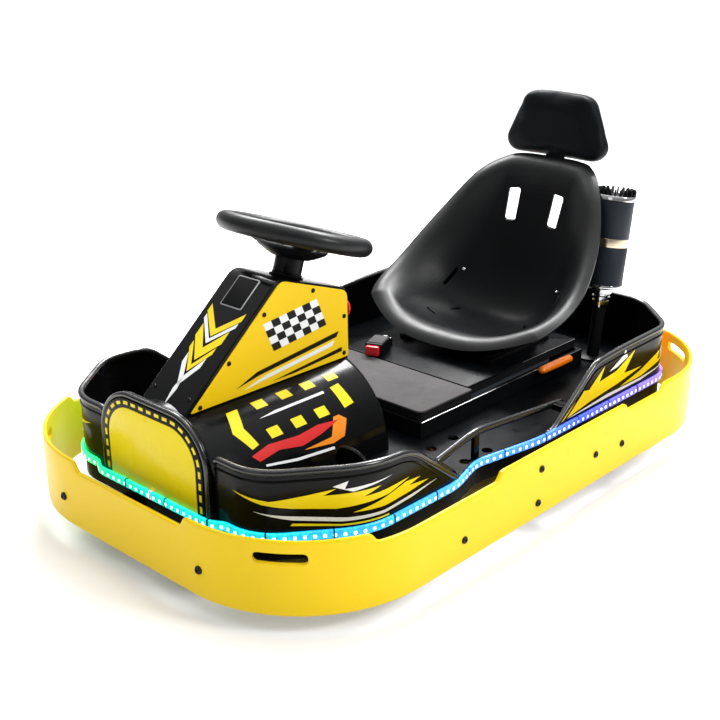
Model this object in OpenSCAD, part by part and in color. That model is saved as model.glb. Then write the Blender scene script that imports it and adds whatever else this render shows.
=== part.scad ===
// Electric bumper go-kart, in millimetres.
// X points forward, Y to the driver's left, Z up.
// The origin is on the ground, under the middle of the bumper ring.

/* [Bumper ring] */
// Overall length of the ring
bumper_len = 1350; // [1330:2:1370]
// Overall width of the ring
bumper_w = 870; // [860:2:890]
// Plan radius of the ring's corners
bumper_r = 265; // [255:1:270]
// Thickness of the ring's wall
bumper_t = 8; // [6:0.5:9]
// Height of the ring's lower edge above the ground
bumper_z0 = 35; // [30:1:45]
// Height of the ring's upper edge above the ground
bumper_z1 = 171; // [165:1:175]
// Depth of the notches in the upper edge
notch_d = 20; // [10:1:26]

/* [Tub] */
// Distance of the tub's front wall from the middle
tub_front = 601; // [599:1:604]
// Distance of the tub's rear wall from the middle
tub_rear = 602; // [600:1:606]
// Half width of the floor and its walls
tub_hw = 361; // [357:1:363]
// Half width of the floor at the waist where one steps in
waist_hw = 333; // [332:1:340]
// Thickness of the wing walls
wall_t = 5; // [4:0.5:6]
// Height of the floor's upper face
floor_z = 130; // [130:1:132]
// Height of the front wings' rim
front_rim_z = 254; // [246:1:262]
// Height of the rear cowl's rim beside the seat
rear_rim_z = 251; // [246:1:258]
// Diameter of the drain holes in the floor
drain_d = 22; // [16:1:24]

/* [Console] */
// Radius of the half-round tunnel cover
hump_r = 170; // [166:1:172]
// Half width of the console box without its side panels
console_hw = 59.5; // [56:0.5:60]
// Thickness of the yellow side panels
panel_t = 2.5; // [2:0.5:3]
// Tilt of the steering column from the vertical
column_tilt = 18; // [17:0.5:19]
// Diameter of the steering wheel over its rim
wheel_d = 291; // [280:1:300]
// Diameter of the steering wheel's rim tube
wheel_tube_d = 34; // [28:1:36]
// Distance from the console's top to the steering wheel
wheel_rise = 80; // [76:1:88]

/* [Running gear] */
// Outside diameter of the four tyres
tyre_d = 120; // [116:1:120]
// Width of the four tyres
tyre_w = 44; // [40:1:46]
// Lateral distance of each wheel's middle from the centre line
wheel_y = 290; // [286:1:294]
// Lateral distance of each kingpin from the centre line
kingpin_y = 235; // [233:1:237]
// Length of the steering arms and of the drop arm
steer_arm = 60; // [58:1:62]
// Distance of the rear axle behind the middle
rear_axle_x = -430; // [-440:1:-420]
// Radial running clearance of every pin and shaft
fit = 0.05; // [0.03:0.01:0.08]

/* [Seat] */
// Thickness of the seat shell
seat_t = 5; // [4:0.5:6]
// Radius of the seat's rolled lip
lip_r = 14; // [12:0.5:15]
// Height of the battery lid's upper face
lid_z = 185; // [183:1:186]
// Half width of the battery lid
lid_hw = 185; // [183:1:187]

/* [Hidden] */
$fn = 96;
pan_t = 5;
lip_z = 91;
led_t = 7;
lip_turn = 140;
led_z0 = 126;
led_h = 17;
rail_y = 160;
rail_w = 30;
rail_z0 = 90;
axle_z = tyre_d / 2;

// Console side profile
con_rear_x = 187;
con_rear_z = 424;
con_top_x = 363;
con_top_z = con_rear_z + (con_top_x - con_rear_x) * tan(column_tilt);
con_nose_x = 588;
con_nose_z = 288;
hump_z = floor_z - 2;
hump_x0 = 188;
hump_x1 = 594;

// Steering column, along its own axis from the console's top
col_x = 286;
col_z = con_rear_z + (col_x - con_rear_x) * tan(column_tilt);
shaft_r = 10;
link_z = 70;
ball_s = (link_z - col_z + steer_arm * sin(column_tilt)) / cos(column_tilt);
link_x = col_x - ball_s * sin(column_tilt) - steer_arm * cos(column_tilt);
kingpin_x = link_x + steer_arm;
pin_r = 8;
rod_pin_r = 6;
rear_shaft_r = 10;

// Notches of the ring: middle x, middle y, turn, length at the bottom, share of the full depth
NOTCHES = [[bumper_len/2, 0, 90, 284, 1], [349, bumper_w/2, 0, 290, 0.85], [349, -bumper_w/2, 0, 290, 0.85],
           [-286, bumper_w/2, 0, 120, 0.75], [-286, -bumper_w/2, 0, 120, 0.75], [-bumper_len/2, 0, 90, 284, 1]];
// Strap slots of the ring: corner x side, corner y side
CORNERS = [[1, 1], [1, -1], [-1, 1], [-1, -1]];
slot_turn = 36.5;
slot_z = 140;

// Drain holes on the left half of the floor: x, y
drain_x = [72, 138];
drain_y = [229, 311];

// Tub outline in plan, left half from the nose to the tail: x, y, length of each rounding's arms
TUB = [[tub_front, 243, 50], [450, tub_hw, 52], [228, tub_hw, 26], [139, waist_hw, 22], [-20, tub_hw, 34],
       [-484, tub_hw, 36], [-tub_rear, 238, 40]];
// The light strip's inner outline steps forward round the nose plate
NOSE = [[616, 150, 8], [tub_front, 176, 8]];

// Seat sections from the front lip to the top:
// middle x, middle z, rim x, rim half width, rim z
SEAT = [[-136, 217, -150, 142, 240], [-185, 214, -190, 214, 266], [-245, 207, -246, 246, 291],
        [-315, 203, -312, 247, 318], [-385, 220, -372, 236, 367], [-437, 290, -430, 209, 430],
        [-475, 395, -470, 174, 494], [-507, 500, -503, 132, 539], [-518, 546, -515, 92, 550]];

// Bumper carriers: start x, start y, end x, end y
CARRIERS = [[10, 145, 10, 427], [-230, 145, -230, 427], [500, 100, 667, 100], [-500, 100, -667, 100]];

// ---- shared shapes ----
module rounded(l, w, r) {
    square([l - 2*r, w], center = true);
    square([l, w - 2*r], center = true);
    for (sx = [-1, 1], sy = [-1, 1]) translate([sx*(l/2 - r), sy*(w/2 - r)]) circle(r);
}
module ring_wall(l, w, r, t, h)
    difference() {
        linear_extrude(h) rounded(l, w, r);
        translate([0, 0, -1]) linear_extrude(h + 2) rounded(l - 2*t, w - 2*t, r - t);
    }
// Turns a left half outline into a whole one, counter-clockwise
function whole(h) = concat([for (i = [len(h) - 1:-1:0]) [h[i][0], -h[i][1], h[i][2]]], h);
function xy(q) = [q[0], q[1]];
// Moves an outline outwards by d
function grown(p, d) = let (n = len(p)) [for (i = [0:n - 1])
    let (m = d*corner_of(xy(p[(i + n - 1) % n]), xy(p[i]), xy(p[(i + 1) % n]))) [p[i][0] + m[0], p[i][1] + m[1], p[i][2]]];
// Rounds each corner of an outline
function bent(p, k = 6) = let (n = len(p)) [for (i = [0:n - 1])
    let (b = xy(p[i]), a = b + p[i][2]*unit(xy(p[(i + n - 1) % n]) - b), c = b + p[i][2]*unit(xy(p[(i + 1) % n]) - b))
    for (j = [0:k]) let (t = j/k) a*(1 - t)*(1 - t) + 2*b*t*(1 - t) + c*t*t];
module plate(p, h) linear_extrude(h) polygon(bent(p));
module band(p, t, h) difference() {
    plate(p, h);
    translate([0, 0, -1]) plate(grown(p, -t), h + 2);
}
// A block between two corners
module block(a, b) translate(a) cube(b - a);
// A prism whose outline is drawn in x and z, between two values of y
module side_prism(y0, y1, pts) translate([0, y1, 0]) rotate([90, 0, 0]) linear_extrude(y1 - y0) polygon(pts);
// Local z along the steering column, from the console's top upwards
module on_column() translate([col_x, 0, col_z]) rotate([0, -column_tilt, 0]) children();
// A round bar between two points of one x-z plane, along y
module bar_y(x, z, r, y0, y1) translate([x, y1, z]) rotate([90, 0, 0]) cylinder(r = r, h = y1 - y0);
module both_sides() { children(); mirror([0, 1, 0]) children(); }

// ---- bumper, frame and tub ----
module notch_cut(len, d)
    rotate([90, 0, 0]) linear_extrude(60, center = true)
        polygon([[-len/2 - 16, 1], [-len/2, -d], [len/2, -d], [len/2 + 16, 1]]);
module slot_cut() {
    translate([0, -35, -10]) cube([60, 70, 20]);
    for (s = [-1, 1]) translate([0, s*35, 0]) rotate([0, 90, 0]) cylinder(r = 10, h = 60);
}
module bumper() color("gold") difference() {
    translate([0, 0, bumper_z0]) ring_wall(bumper_len, bumper_w, bumper_r, bumper_t, bumper_z1 - bumper_z0);
    for (n = NOTCHES) translate([n[0], n[1], bumper_z1]) rotate([0, 0, n[2]]) notch_cut(n[3], notch_d*n[4]);
    for (c = CORNERS)
        translate([c[0]*(bumper_len/2 - bumper_r), c[1]*(bumper_w/2 - bumper_r), slot_z])
            rotate([0, 0, (c[0] > 0 ? 0 : 180) + c[0]*c[1]*slot_turn])
                translate([bumper_r - 40, 0, 0]) slot_cut();
}
module bumper_carriers() color("dimgray")
    for (c = CARRIERS) both_sides() {
        lateral = c[0] == c[2];
        x0 = min(c[0], c[2]) - (lateral ? 15 : 0);
        x1 = max(c[0], c[2]) + (lateral ? 15 : 0);
        y0 = c[1] - (lateral ? 0 : 15);
        y1 = c[3] + (lateral ? 0 : 15);
        block([x0, y0, rail_z0 - 24], [x1, y1, rail_z0]);
        if (lateral) block([c[0] - 35, c[3] - 8, rail_z0 - 34], [c[0] + 35, c[3], rail_z0 + 2]);
        else block([min(c[2], c[2] - sign(c[2])*8), y0 - 20, rail_z0 - 34], [max(c[2], c[2] - sign(c[2])*8), y1 + 20, rail_z0 + 2]);
    }
rail_z1 = floor_z - pan_t;
module frame_rails() color("dimgray") both_sides() difference() {
    block([-595, rail_y - rail_w/2, rail_z0], [595, rail_y + rail_w/2, rail_z1]);
    block([-600, rail_y - rail_w/2 + 3, rail_z0 + 3], [600, rail_y + rail_w/2 - 3, rail_z1 - 3]);
}
module cross_members() color("dimgray") for (x = [545, 190, -100, -330, -560])
    block([x - 15, -rail_y + rail_w/2, rail_z0], [x + 15, rail_y - rail_w/2, rail_z1 - 10]);
module floor_pan() color("#26282b") difference() {
    union() {
        translate([0, 0, floor_z - pan_t]) plate(whole(TUB), pan_t);
        translate([0, 0, lip_z]) band(whole(TUB), 4, floor_z - pan_t - lip_z + 1);
    }
    for (x = drain_x, y = drain_y, s = [-1, 1])
        translate([x, s*y, floor_z - 20]) cylinder(d = drain_d, h = 40);
    on_column() translate([0, 0, -380]) cylinder(r = 18, h = 60);
}
module sills() color("#26282b") intersection() {
    translate([0, 0, floor_z]) band(whole(TUB), 4, 12);
    block([-46, -400, floor_z - 5], [188, 400, floor_z + 20]);
}
module led_strip() color("lightskyblue")
    translate([0, 0, led_z0]) band(grown(whole(concat(NOSE, TUB)), led_t), led_t, led_h);
module wing_wall(h) translate([0, 0, floor_z]) band(whole(TUB), wall_t, h - floor_z);
module front_wing() intersection() {
    wing_wall(front_rim_z);
    side_prism(150, 400, [[640, floor_z - 5], [640, front_rim_z + 5], [450, front_rim_z + 5], [442, front_rim_z],
                          [364, front_rim_z - 6], [338, front_rim_z - 15], [205, floor_z + 4], [198, floor_z - 5]]);
}
module front_left_wing() color("#1c1d1f") front_wing();
module front_right_wing() color("#1c1d1f") mirror([0, 1, 0]) front_wing();
module rear_cowl() color("#1c1d1f") intersection() {
    wing_wall(rear_rim_z);
    side_prism(-400, 400, [[-56, floor_z - 5], [-62, floor_z + 3], [-157, 202], [-190, 228], [-214, rear_rim_z - 8],
                           [-300, rear_rim_z - 3], [-475, rear_rim_z], [-640, rear_rim_z - 3], [-640, floor_z - 5]]);
}
// Side rail: foot, knee and tail of its middle line in x and z, and half its height
rail_foot = [238, 167];
rail_knee = [123, 190];
rail_tail = [-150, 162];
rail_h = 8;
function left_of(a, b) = let (d = unit(b - a)) [d[1], -d[0]];
function corner_of(a, b, c) = let (n = left_of(a, b), m = unit(n + left_of(b, c))) m/(m*n);
module side_rails() color("#1c1d1f") both_sides() {
    start = rail_h*left_of(rail_foot, rail_knee);
    bend = rail_h*corner_of(rail_foot, rail_knee, rail_tail);
    end = rail_h*left_of(rail_knee, rail_tail);
    side_prism(316, 328, [rail_foot + start, rail_knee + bend, rail_tail + end,
                          rail_tail - end, rail_knee - bend, rail_foot - start]);
    block([116, 317, floor_z], [132, 327, 187]);
    side_prism(317, 327, [[242, 170], [228, 170], [195, floor_z], [207, floor_z]]);
    block([-142, 326, 157], [-118, tub_hw - wall_t, 169]);
}
module shield(hw, top, r) {
    translate([-hw, floor_z + 2]) square([2*hw, top - r - floor_z - 2]);
    translate([-hw + r, floor_z + 2]) square([2*hw - 2*r, top - floor_z - 2]);
    for (s = [-1, 1]) translate([s*(hw - r), top - r]) circle(r);
}
module stand_x(x0, x1) translate([x0, 0, 0]) rotate([90, 0, 90]) linear_extrude(x1 - x0) children();
module nose_cowl() color("#1c1d1f") stand_x(hump_x1 + 2, 610) shield(146, 307, 84);
module number_plate() color("gold") stand_x(610, 616) shield(136, 299, 76);

// ---- tunnel cover and console ----
module hump_round(r, x0, x1) difference() {
    translate([x0, 0, hump_z]) rotate([0, 90, 0]) cylinder(r = r, h = x1 - x0);
    block([x0 - 1, -r - 1, hump_z - r - 1], [x1 + 1, r + 1, floor_z]);
}
module hump_cover() color("#1c1d1f") difference() {
    hump_round(hump_r, hump_x0, hump_x1);
    translate([0, 0, -0.5]) difference() {
        translate([hump_x0 + 4, 0, hump_z]) rotate([0, 90, 0]) cylinder(r = hump_r - 4, h = hump_x1 - hump_x0 - 8);
        block([0, -300, -200], [700, 300, floor_z - 1]);
    }
    on_column() translate([0, 0, -200]) cylinder(r = 18, h = 120);
}
module console() color("#1c1d1f") difference() {
    side_prism(-console_hw, console_hw, [[con_nose_x, con_nose_z], [con_top_x, con_top_z],
        [con_rear_x, con_rear_z], [con_rear_x - 2, 230], [con_nose_x, 230]]);
    side_prism(-console_hw + 3, console_hw - 3, [[con_nose_x - 10, con_nose_z + 3], [con_top_x - 1, con_top_z - 5],
        [con_rear_x + 3, con_rear_z - 4], [con_rear_x + 1, 220], [con_nose_x - 10, 220]]);
    translate([0, 0, hump_z]) rotate([0, 90, 0]) cylinder(r = hump_r, h = 900);
    on_column() translate([0, 0, -12]) cylinder(r = 18, h = 24);
}
module console_panels() color("gold") both_sides() difference() {
    side_prism(console_hw, console_hw + panel_t, [[con_top_x - 7, con_top_z - 4], [con_rear_x + 2, con_rear_z - 4],
        [con_rear_x, 291], [con_nose_x - 13, 291]]);
    translate([0, 0, hump_z]) rotate([0, 90, 0]) cylinder(r = hump_r + 0.5, h = 900);
}
module column_collar() color("#151617") on_column() difference() {
    union() {
        cylinder(r = 32, h = 3);
        cylinder(r = 28, h = 8);
    }
    translate([0, 0, -1]) cylinder(r = shaft_r + fit, h = 40);
}
module lower_bushing() color("silver") difference() {
    block([col_x + 73, -28, floor_z], [col_x + 131, 28, floor_z + 26]);
    on_column() translate([0, 0, -400]) cylinder(r = shaft_r + fit, h = 200);
}
module stop_button() color("red") translate([con_rear_x - 1.4, 32, 376]) rotate([0, -90, 0]) {
    cylinder(r = 11, h = 12);
    translate([0, 0, 12]) cylinder(r = 19, h = 9);
}

// ---- battery and seat ----
box_x0 = -430;
box_x1 = 122;
module battery_box() color("#1a1b1d") difference() {
    block([box_x0, -lid_hw - 5, floor_z], [box_x1, lid_hw + 5, 165]);
    block([box_x0 + 10, -lid_hw + 5, floor_z - 1], [box_x1 - 10, lid_hw - 5, 166]);
}
lid_x0 = -40;
module tray(a, b, t) difference() {
    block(a, b);
    block([a[0] + t, a[1] + t, a[2] - 1], [b[0] - t, b[1] - t, b[2] - t]);
}
module battery_lid() color("gray") tray([lid_x0, -lid_hw, 165], [box_x1 - 4, lid_hw, lid_z], 5);
module seat_base() color("#1a1b1d") tray([box_x0 + 2, -172, 165], [lid_x0 - 4, 172, lid_z], 5);
module battery_pack() color("darkslategray")
    block([-340, -165, floor_z], [60, 165, 163]);
module seat_rails() color("#1a1b1d") both_sides()
    block([-390, 100, lid_z], [-176, 128, 206]);

function sp(p, q, r, s, t) = 0.5*(2*q + (r - p)*t + (2*p - 5*q + 4*r - s)*t*t + (3*q - p - 3*r + s)*t*t*t);
function seat_at(u) = let (n = len(SEAT) - 1, i = min(floor(u), n - 1), t = u - i)
    sp(SEAT[max(i - 1, 0)], SEAT[i], SEAT[i + 1], SEAT[min(i + 2, n)], t);
// Bowl inside the lip
function seat_bowl(u, v) = let (r = seat_at(u), k = pow(abs(v), 3))
    [r[0] + (r[2] - r[0])*k, (r[3] - 1.7*lip_r)*v, r[1] + (r[4] - 4 - r[1])*k];
function unit(a) = a / norm(a);
seat_u0 = 0.32;
seat_u1 = len(SEAT) - 1.26;
function hold(a, lo, hi) = min(max(a, lo), hi);
function along_u(u, v) = unit(seat_bowl(min(u + 0.03, seat_u1), v) - seat_bowl(max(u - 0.03, seat_u0), v));
function along_v(u, v) = unit(seat_bowl(u, min(v + 0.03, 1)) - seat_bowl(u, max(v - 0.03, -1)));
function bowl_n(u, v) = unit(cross(along_u(u, v), along_v(u, v)));
// Direction out of the bowl, square to its edges
function past_edge(u, v, e) = let (p = along_u(u, v), q = along_v(u, v), c = p*q) unit(e[0]*unit(p - c*q) + e[1]*unit(q - c*p));
// Whole inner skin: a and b count on past the bowl's edges, where the skin rolls outwards and down
function seat_in(a, b) = let (u = hold(a, seat_u0, seat_u1), v = hold(b, -1, 1), e = [a - u, b - v], m = max(abs(e[0]), abs(e[1])),
                              n = bowl_n(u, v), d = m == 0 ? n : past_edge(u, v, e), w = m*lip_turn)
    seat_bowl(u, v) + lip_r*sin(w)*d + lip_r*(1 - cos(w))*n;
function seat_n(a, b) = let (u = hold(a, seat_u0, seat_u1), v = hold(b, -1, 1), e = [a - u, b - v], m = max(abs(e[0]), abs(e[1])),
                             n = bowl_n(u, v), d = m == 0 ? n : past_edge(u, v, e), w = m*lip_turn)
    m == 0 ? n : cos(w)*n - sin(w)*d;
module seat_skin(t, nu, nv) {
    us = concat([for (i = [4:-1:1]) seat_u0 - i/4], [for (i = [0:nu - 8]) seat_u0 + (seat_u1 - seat_u0)*i/(nu - 8)], [for (i = [1:4]) seat_u1 + i/4]);
    vs = concat([for (i = [4:-1:1]) -1 - i/4], [for (j = [0:nv - 8]) sin(90*(2*j/(nv - 8) - 1))], [for (i = [1:4]) 1 + i/4]);
    w = nv + 1;
    m = (nu + 1)*w;
    function quad(a, b, c, d) = [[a, b, c], [a, c, d]];
    polyhedron(
        points = concat([for (u = us, v = vs) seat_in(u, v)], [for (u = us, v = vs) seat_in(u, v) + t*seat_n(u, v)]),
        faces = concat(
            [for (i = [0:nu - 1], j = [0:nv - 1], f = quad(i*w + j, i*w + j + 1, (i + 1)*w + j + 1, (i + 1)*w + j)) f],
            [for (i = [0:nu - 1], j = [0:nv - 1], f = quad(m + i*w + j, m + (i + 1)*w + j, m + (i + 1)*w + j + 1, m + i*w + j + 1)) f],
            [for (j = [0:nv - 1], f = quad(j, m + j, m + j + 1, j + 1)) f],
            [for (j = [0:nv - 1], f = quad(nu*w + j, nu*w + j + 1, m + nu*w + j + 1, m + nu*w + j)) f],
            [for (i = [0:nu - 1], f = quad(i*w, (i + 1)*w, m + (i + 1)*w, m + i*w)) f],
            [for (i = [0:nu - 1], f = quad(i*w + nv, m + i*w + nv, m + (i + 1)*w + nv, (i + 1)*w + nv)) f]));
}
module seat_shell() color("#17181a") difference() {
    seat_skin(seat_t, 32, 24);
    both_sides() translate([-470, 58, 402]) rotate([0, -17, 0]) block([-60, -17, 0], [70, 17, 75]);
}
module headrest_stem() color("#151617") difference() {
    translate([-533, -25, 470]) rotate([0, -22, 0]) cube([6, 50, 110]);
    block([-640, -40, 546], [-500, 40, 640]);
}
module headrest_pad() color("#141516")
    translate([-570, 0, 546]) rotate([0, -4, 0]) rotate([90, 0, 90])
        translate([0, 0, -24]) linear_extrude(51)
            polygon([[-108, 0], [108, 0], [130, 13], [136, 30], [132, 46], [92, 140], [78, 150],
                     [-78, 150], [-92, 140], [-132, 46], [-136, 30], [-130, 13]]);

// ---- stack beside the seat ----
module on_stack() translate([-505, 184.5, 292]) rotate([0, -8.3, 0]) children();
module stack_body() color("#1b1d20") on_stack() cylinder(r = 42, h = 196);
module stack_cap() color("silver") on_stack() translate([0, 0, 196]) {
    cylinder(r = 44, h = 8);
    translate([0, 0, 7]) cylinder(r = 18, h = 9);
    for (i = [0:13]) rotate([0, 0, 360*i/14]) block([27, -4, 7], [40, 4, 21]);
}
module stack_neck() color("silver") difference() {
    on_stack() { translate([0, 0, -30]) cylinder(r = 20, h = 30); translate([0, 0, -200]) cylinder(r = 14, h = 180); }
    block([-600, 100, 0], [-400, 260, floor_z]);
}

// ---- small fittings ----
module belt_buckle() color("#1c1d1f") translate([-72, -98, lid_z]) rotate([0, 0, 22]) {
    block([-26, -20, 0], [40, 20, 28]);
    block([-60, -12, 0], [-26, 12, 12]);
}
module seat_lever() color("darkorange") {
    translate([-360, 203, 166]) rotate([0, 90, 0]) cylinder(r = 10.5, h = 108);
    bar_y(-290, 159, 4, lid_hw + 5, 203);
}
module pedals() color("#1c1d1f") both_sides() {
    translate([352, 201, floor_z]) rotate([0, 18, 0]) block([-8, 0, 2], [0, 86, 70]);
    translate([352, 244, floor_z]) rotate([0, 18, 0]) translate([-8, 0, 60]) rotate([0, 90, 0]) cylinder(r = 34, h = 8);
    block([338, 212, floor_z], [380, 276, floor_z + 8]);
}

// ---- running gear ----
module front_axle_beam() color("dimgray") difference() {
    union() {
        block([kingpin_x - 16, -kingpin_y + 10, 44], [kingpin_x + 16, kingpin_y - 10, 72]);
        both_sides() translate([kingpin_x, kingpin_y, 44]) cylinder(r = 17, h = 32);
        both_sides() block([kingpin_x - 16, rail_y - 15, 70], [kingpin_x + 16, rail_y + 15, rail_z0]);
    }
    both_sides() translate([kingpin_x, kingpin_y, 0]) cylinder(r = pin_r + fit, h = 200);
}
module knuckle() translate([kingpin_x, kingpin_y, 0]) {
    translate([0, 0, 30]) cylinder(r = pin_r, h = 60);
    for (z = [33, 79]) {
        translate([0, 0, z]) cylinder(r = 16, h = 8);
        block([-12, 0, z], [12, 30, z + 8]);
    }
    block([-12, 20, 33], [12, 30, 87]);
    block([-steer_arm, -9, 79], [0, 9, 87]);
    translate([-steer_arm, 0, 79]) cylinder(r = 13, h = 8);
    translate([-steer_arm, 0, 60]) cylinder(r = rod_pin_r, h = 20);
    bar_y(0, axle_z, pin_r, 28, wheel_y - kingpin_y + 29);
    bar_y(0, axle_z, 13, wheel_y - kingpin_y + 21, wheel_y - kingpin_y + 29);
}
module left_knuckle() color("silver") knuckle();
module right_knuckle() color("silver") mirror([0, 1, 0]) knuckle();
module tie_rod() color("silver") difference() {
    union() {
        bar_y(link_x, link_z, 6, -kingpin_y, kingpin_y);
        for (e = [[-kingpin_y, 13], [0, 18], [kingpin_y, 13]])
            translate([link_x, e[0], link_z - 6]) cylinder(r = e[1], h = 12);
    }
    for (y = [-kingpin_y, kingpin_y]) translate([link_x, y, link_z - 20]) cylinder(r = rod_pin_r + fit, h = 40);
    translate([link_x, 0, link_z - 20]) cylinder(r = 10.5, h = 40);
}
module rear_transaxle() color("dimgray") difference() {
    union() {
        bar_y(rear_axle_x, axle_z, 20, -262, 262);
        bar_y(rear_axle_x, axle_z, 40, -45, 45);
        block([rear_axle_x - 45, -35, 36], [rear_axle_x, 35, 84]);
        both_sides() block([rear_axle_x - 22, rail_y - 15, axle_z], [rear_axle_x + 22, rail_y + 15, rail_z0]);
    }
    both_sides() bar_y(rear_axle_x, axle_z, rear_shaft_r + fit, 195, 270);
}
module motor() color("slategray")
    block([rear_axle_x - 145, -65, 25], [rear_axle_x - 45, 65, 86]);

// Half of a wheel's section, radius by width, turned about the axle
module turned_y(x, y) translate([x, y, axle_z]) rotate([90, 0, 0]) rotate_extrude() children();
module tyre_section() {
    w = tyre_w/2;
    r1 = tyre_d/2;
    r0 = 36;
    translate([r0, -w + 8]) square([r1 - r0, 2*w - 16]);
    translate([r0, -w]) square([r1 - r0 - 8, 2*w]);
    for (s = [-1, 1]) translate([r1 - 8, s*(w - 8)]) circle(8);
}
module rim_section(bore) {
    translate([bore, -20]) square([18 - bore, 40]);
    translate([17, -5]) square([15, 10]);
    translate([30, -20]) square([6, 40]);
}
module tyre(x, y) color("#141414") turned_y(x, y) tyre_section();
module front_rim(y) color("silver") turned_y(kingpin_x, y) rim_section(pin_r + fit);
module rear_rim() color("silver") {
    turned_y(rear_axle_x, wheel_y) rim_section(rear_shaft_r - 1);
    bar_y(rear_axle_x, axle_z, rear_shaft_r, 200, wheel_y + 24);
}
module front_left_rim() front_rim(wheel_y);
module front_right_rim() front_rim(-wheel_y);
module front_left_tyre() tyre(kingpin_x, wheel_y);
module front_right_tyre() tyre(kingpin_x, -wheel_y);
module rear_left_rim() rear_rim();
module rear_right_rim() mirror([0, 1, 0]) rear_rim();
module rear_left_tyre() tyre(rear_axle_x, wheel_y);
module rear_right_tyre() tyre(rear_axle_x, -wheel_y);

// ---- steering ----
module steering_wheel() color("#151617") on_column() translate([0, 0, wheel_rise]) {
    rotate_extrude() translate([(wheel_d - wheel_tube_d)/2, 0]) circle(d = wheel_tube_d);
    difference() {
        translate([0, 0, -45]) cylinder(r = 34, h = 22);
        translate([0, 0, -60]) cylinder(r = shaft_r, h = 24);
    }
    for (a = [0, 120, 240]) rotate([0, 0, a + 180]) rotate([0, -15.5, 0]) block([10, -20, -49], [116, 20, -40]);
}
module steering_column() color("#1c1d1f") on_column() {
    translate([0, 0, ball_s + 10]) cylinder(r = shaft_r, h = wheel_rise - 36 - ball_s - 10);
    translate([0, 0, 9]) cylinder(r = 27, h = wheel_rise - 45 - 9);
}
module drop_arm() color("silver") on_column() translate([0, 0, ball_s]) {
    difference() {
        union() {
            translate([0, 0, 14]) cylinder(r = 17, h = 9);
            block([-steer_arm, -9, 14], [0, 9, 23]);
            translate([-steer_arm, 0, 14]) cylinder(r = 11, h = 9);
        }
        translate([0, 0, 0]) cylinder(r = shaft_r, h = 40);
    }
    translate([-steer_arm, 0, 0]) cylinder(r = 5, h = 16);
    translate([-steer_arm, 0, 0]) sphere(r = 9);
}

bumper();
bumper_carriers();
frame_rails();
cross_members();
floor_pan();
sills();
led_strip();
front_left_wing();
front_right_wing();
rear_cowl();
side_rails();
nose_cowl();
number_plate();
hump_cover();
console();
console_panels();
column_collar();
lower_bushing();
stop_button();
battery_box();
battery_lid();
battery_pack();
seat_base();
seat_rails();
seat_shell();
headrest_stem();
headrest_pad();
stack_body();
stack_cap();
stack_neck();
belt_buckle();
seat_lever();
pedals();
front_axle_beam();
rear_transaxle();
motor();
steering_wheel();
steering_column();
drop_arm();
left_knuckle();
right_knuckle();
tie_rod();
front_left_rim();
front_left_tyre();
front_right_rim();
front_right_tyre();
rear_left_rim();
rear_left_tyre();
rear_right_rim();
rear_right_tyre();
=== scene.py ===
import bisect
import math
import bpy
import bmesh
from mathutils import Vector, Matrix


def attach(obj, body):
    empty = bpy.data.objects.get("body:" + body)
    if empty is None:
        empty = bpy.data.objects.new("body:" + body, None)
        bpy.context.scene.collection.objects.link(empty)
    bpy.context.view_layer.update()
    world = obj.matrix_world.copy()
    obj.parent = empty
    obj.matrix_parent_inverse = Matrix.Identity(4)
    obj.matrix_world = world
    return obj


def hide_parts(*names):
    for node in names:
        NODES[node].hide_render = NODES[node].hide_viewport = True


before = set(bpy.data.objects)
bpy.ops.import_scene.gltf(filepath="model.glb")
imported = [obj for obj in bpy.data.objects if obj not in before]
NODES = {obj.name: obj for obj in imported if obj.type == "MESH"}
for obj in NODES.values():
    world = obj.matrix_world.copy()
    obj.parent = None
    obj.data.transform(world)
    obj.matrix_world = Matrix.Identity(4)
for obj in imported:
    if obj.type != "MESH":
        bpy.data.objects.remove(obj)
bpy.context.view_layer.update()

scene = bpy.context.scene
K = 0.001          # every size below is in millimetres
V = Vector


# ------------------------------------------------------------------ materials
def links_of(mat):
    return mat.node_tree.nodes, mat.node_tree.links


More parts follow.
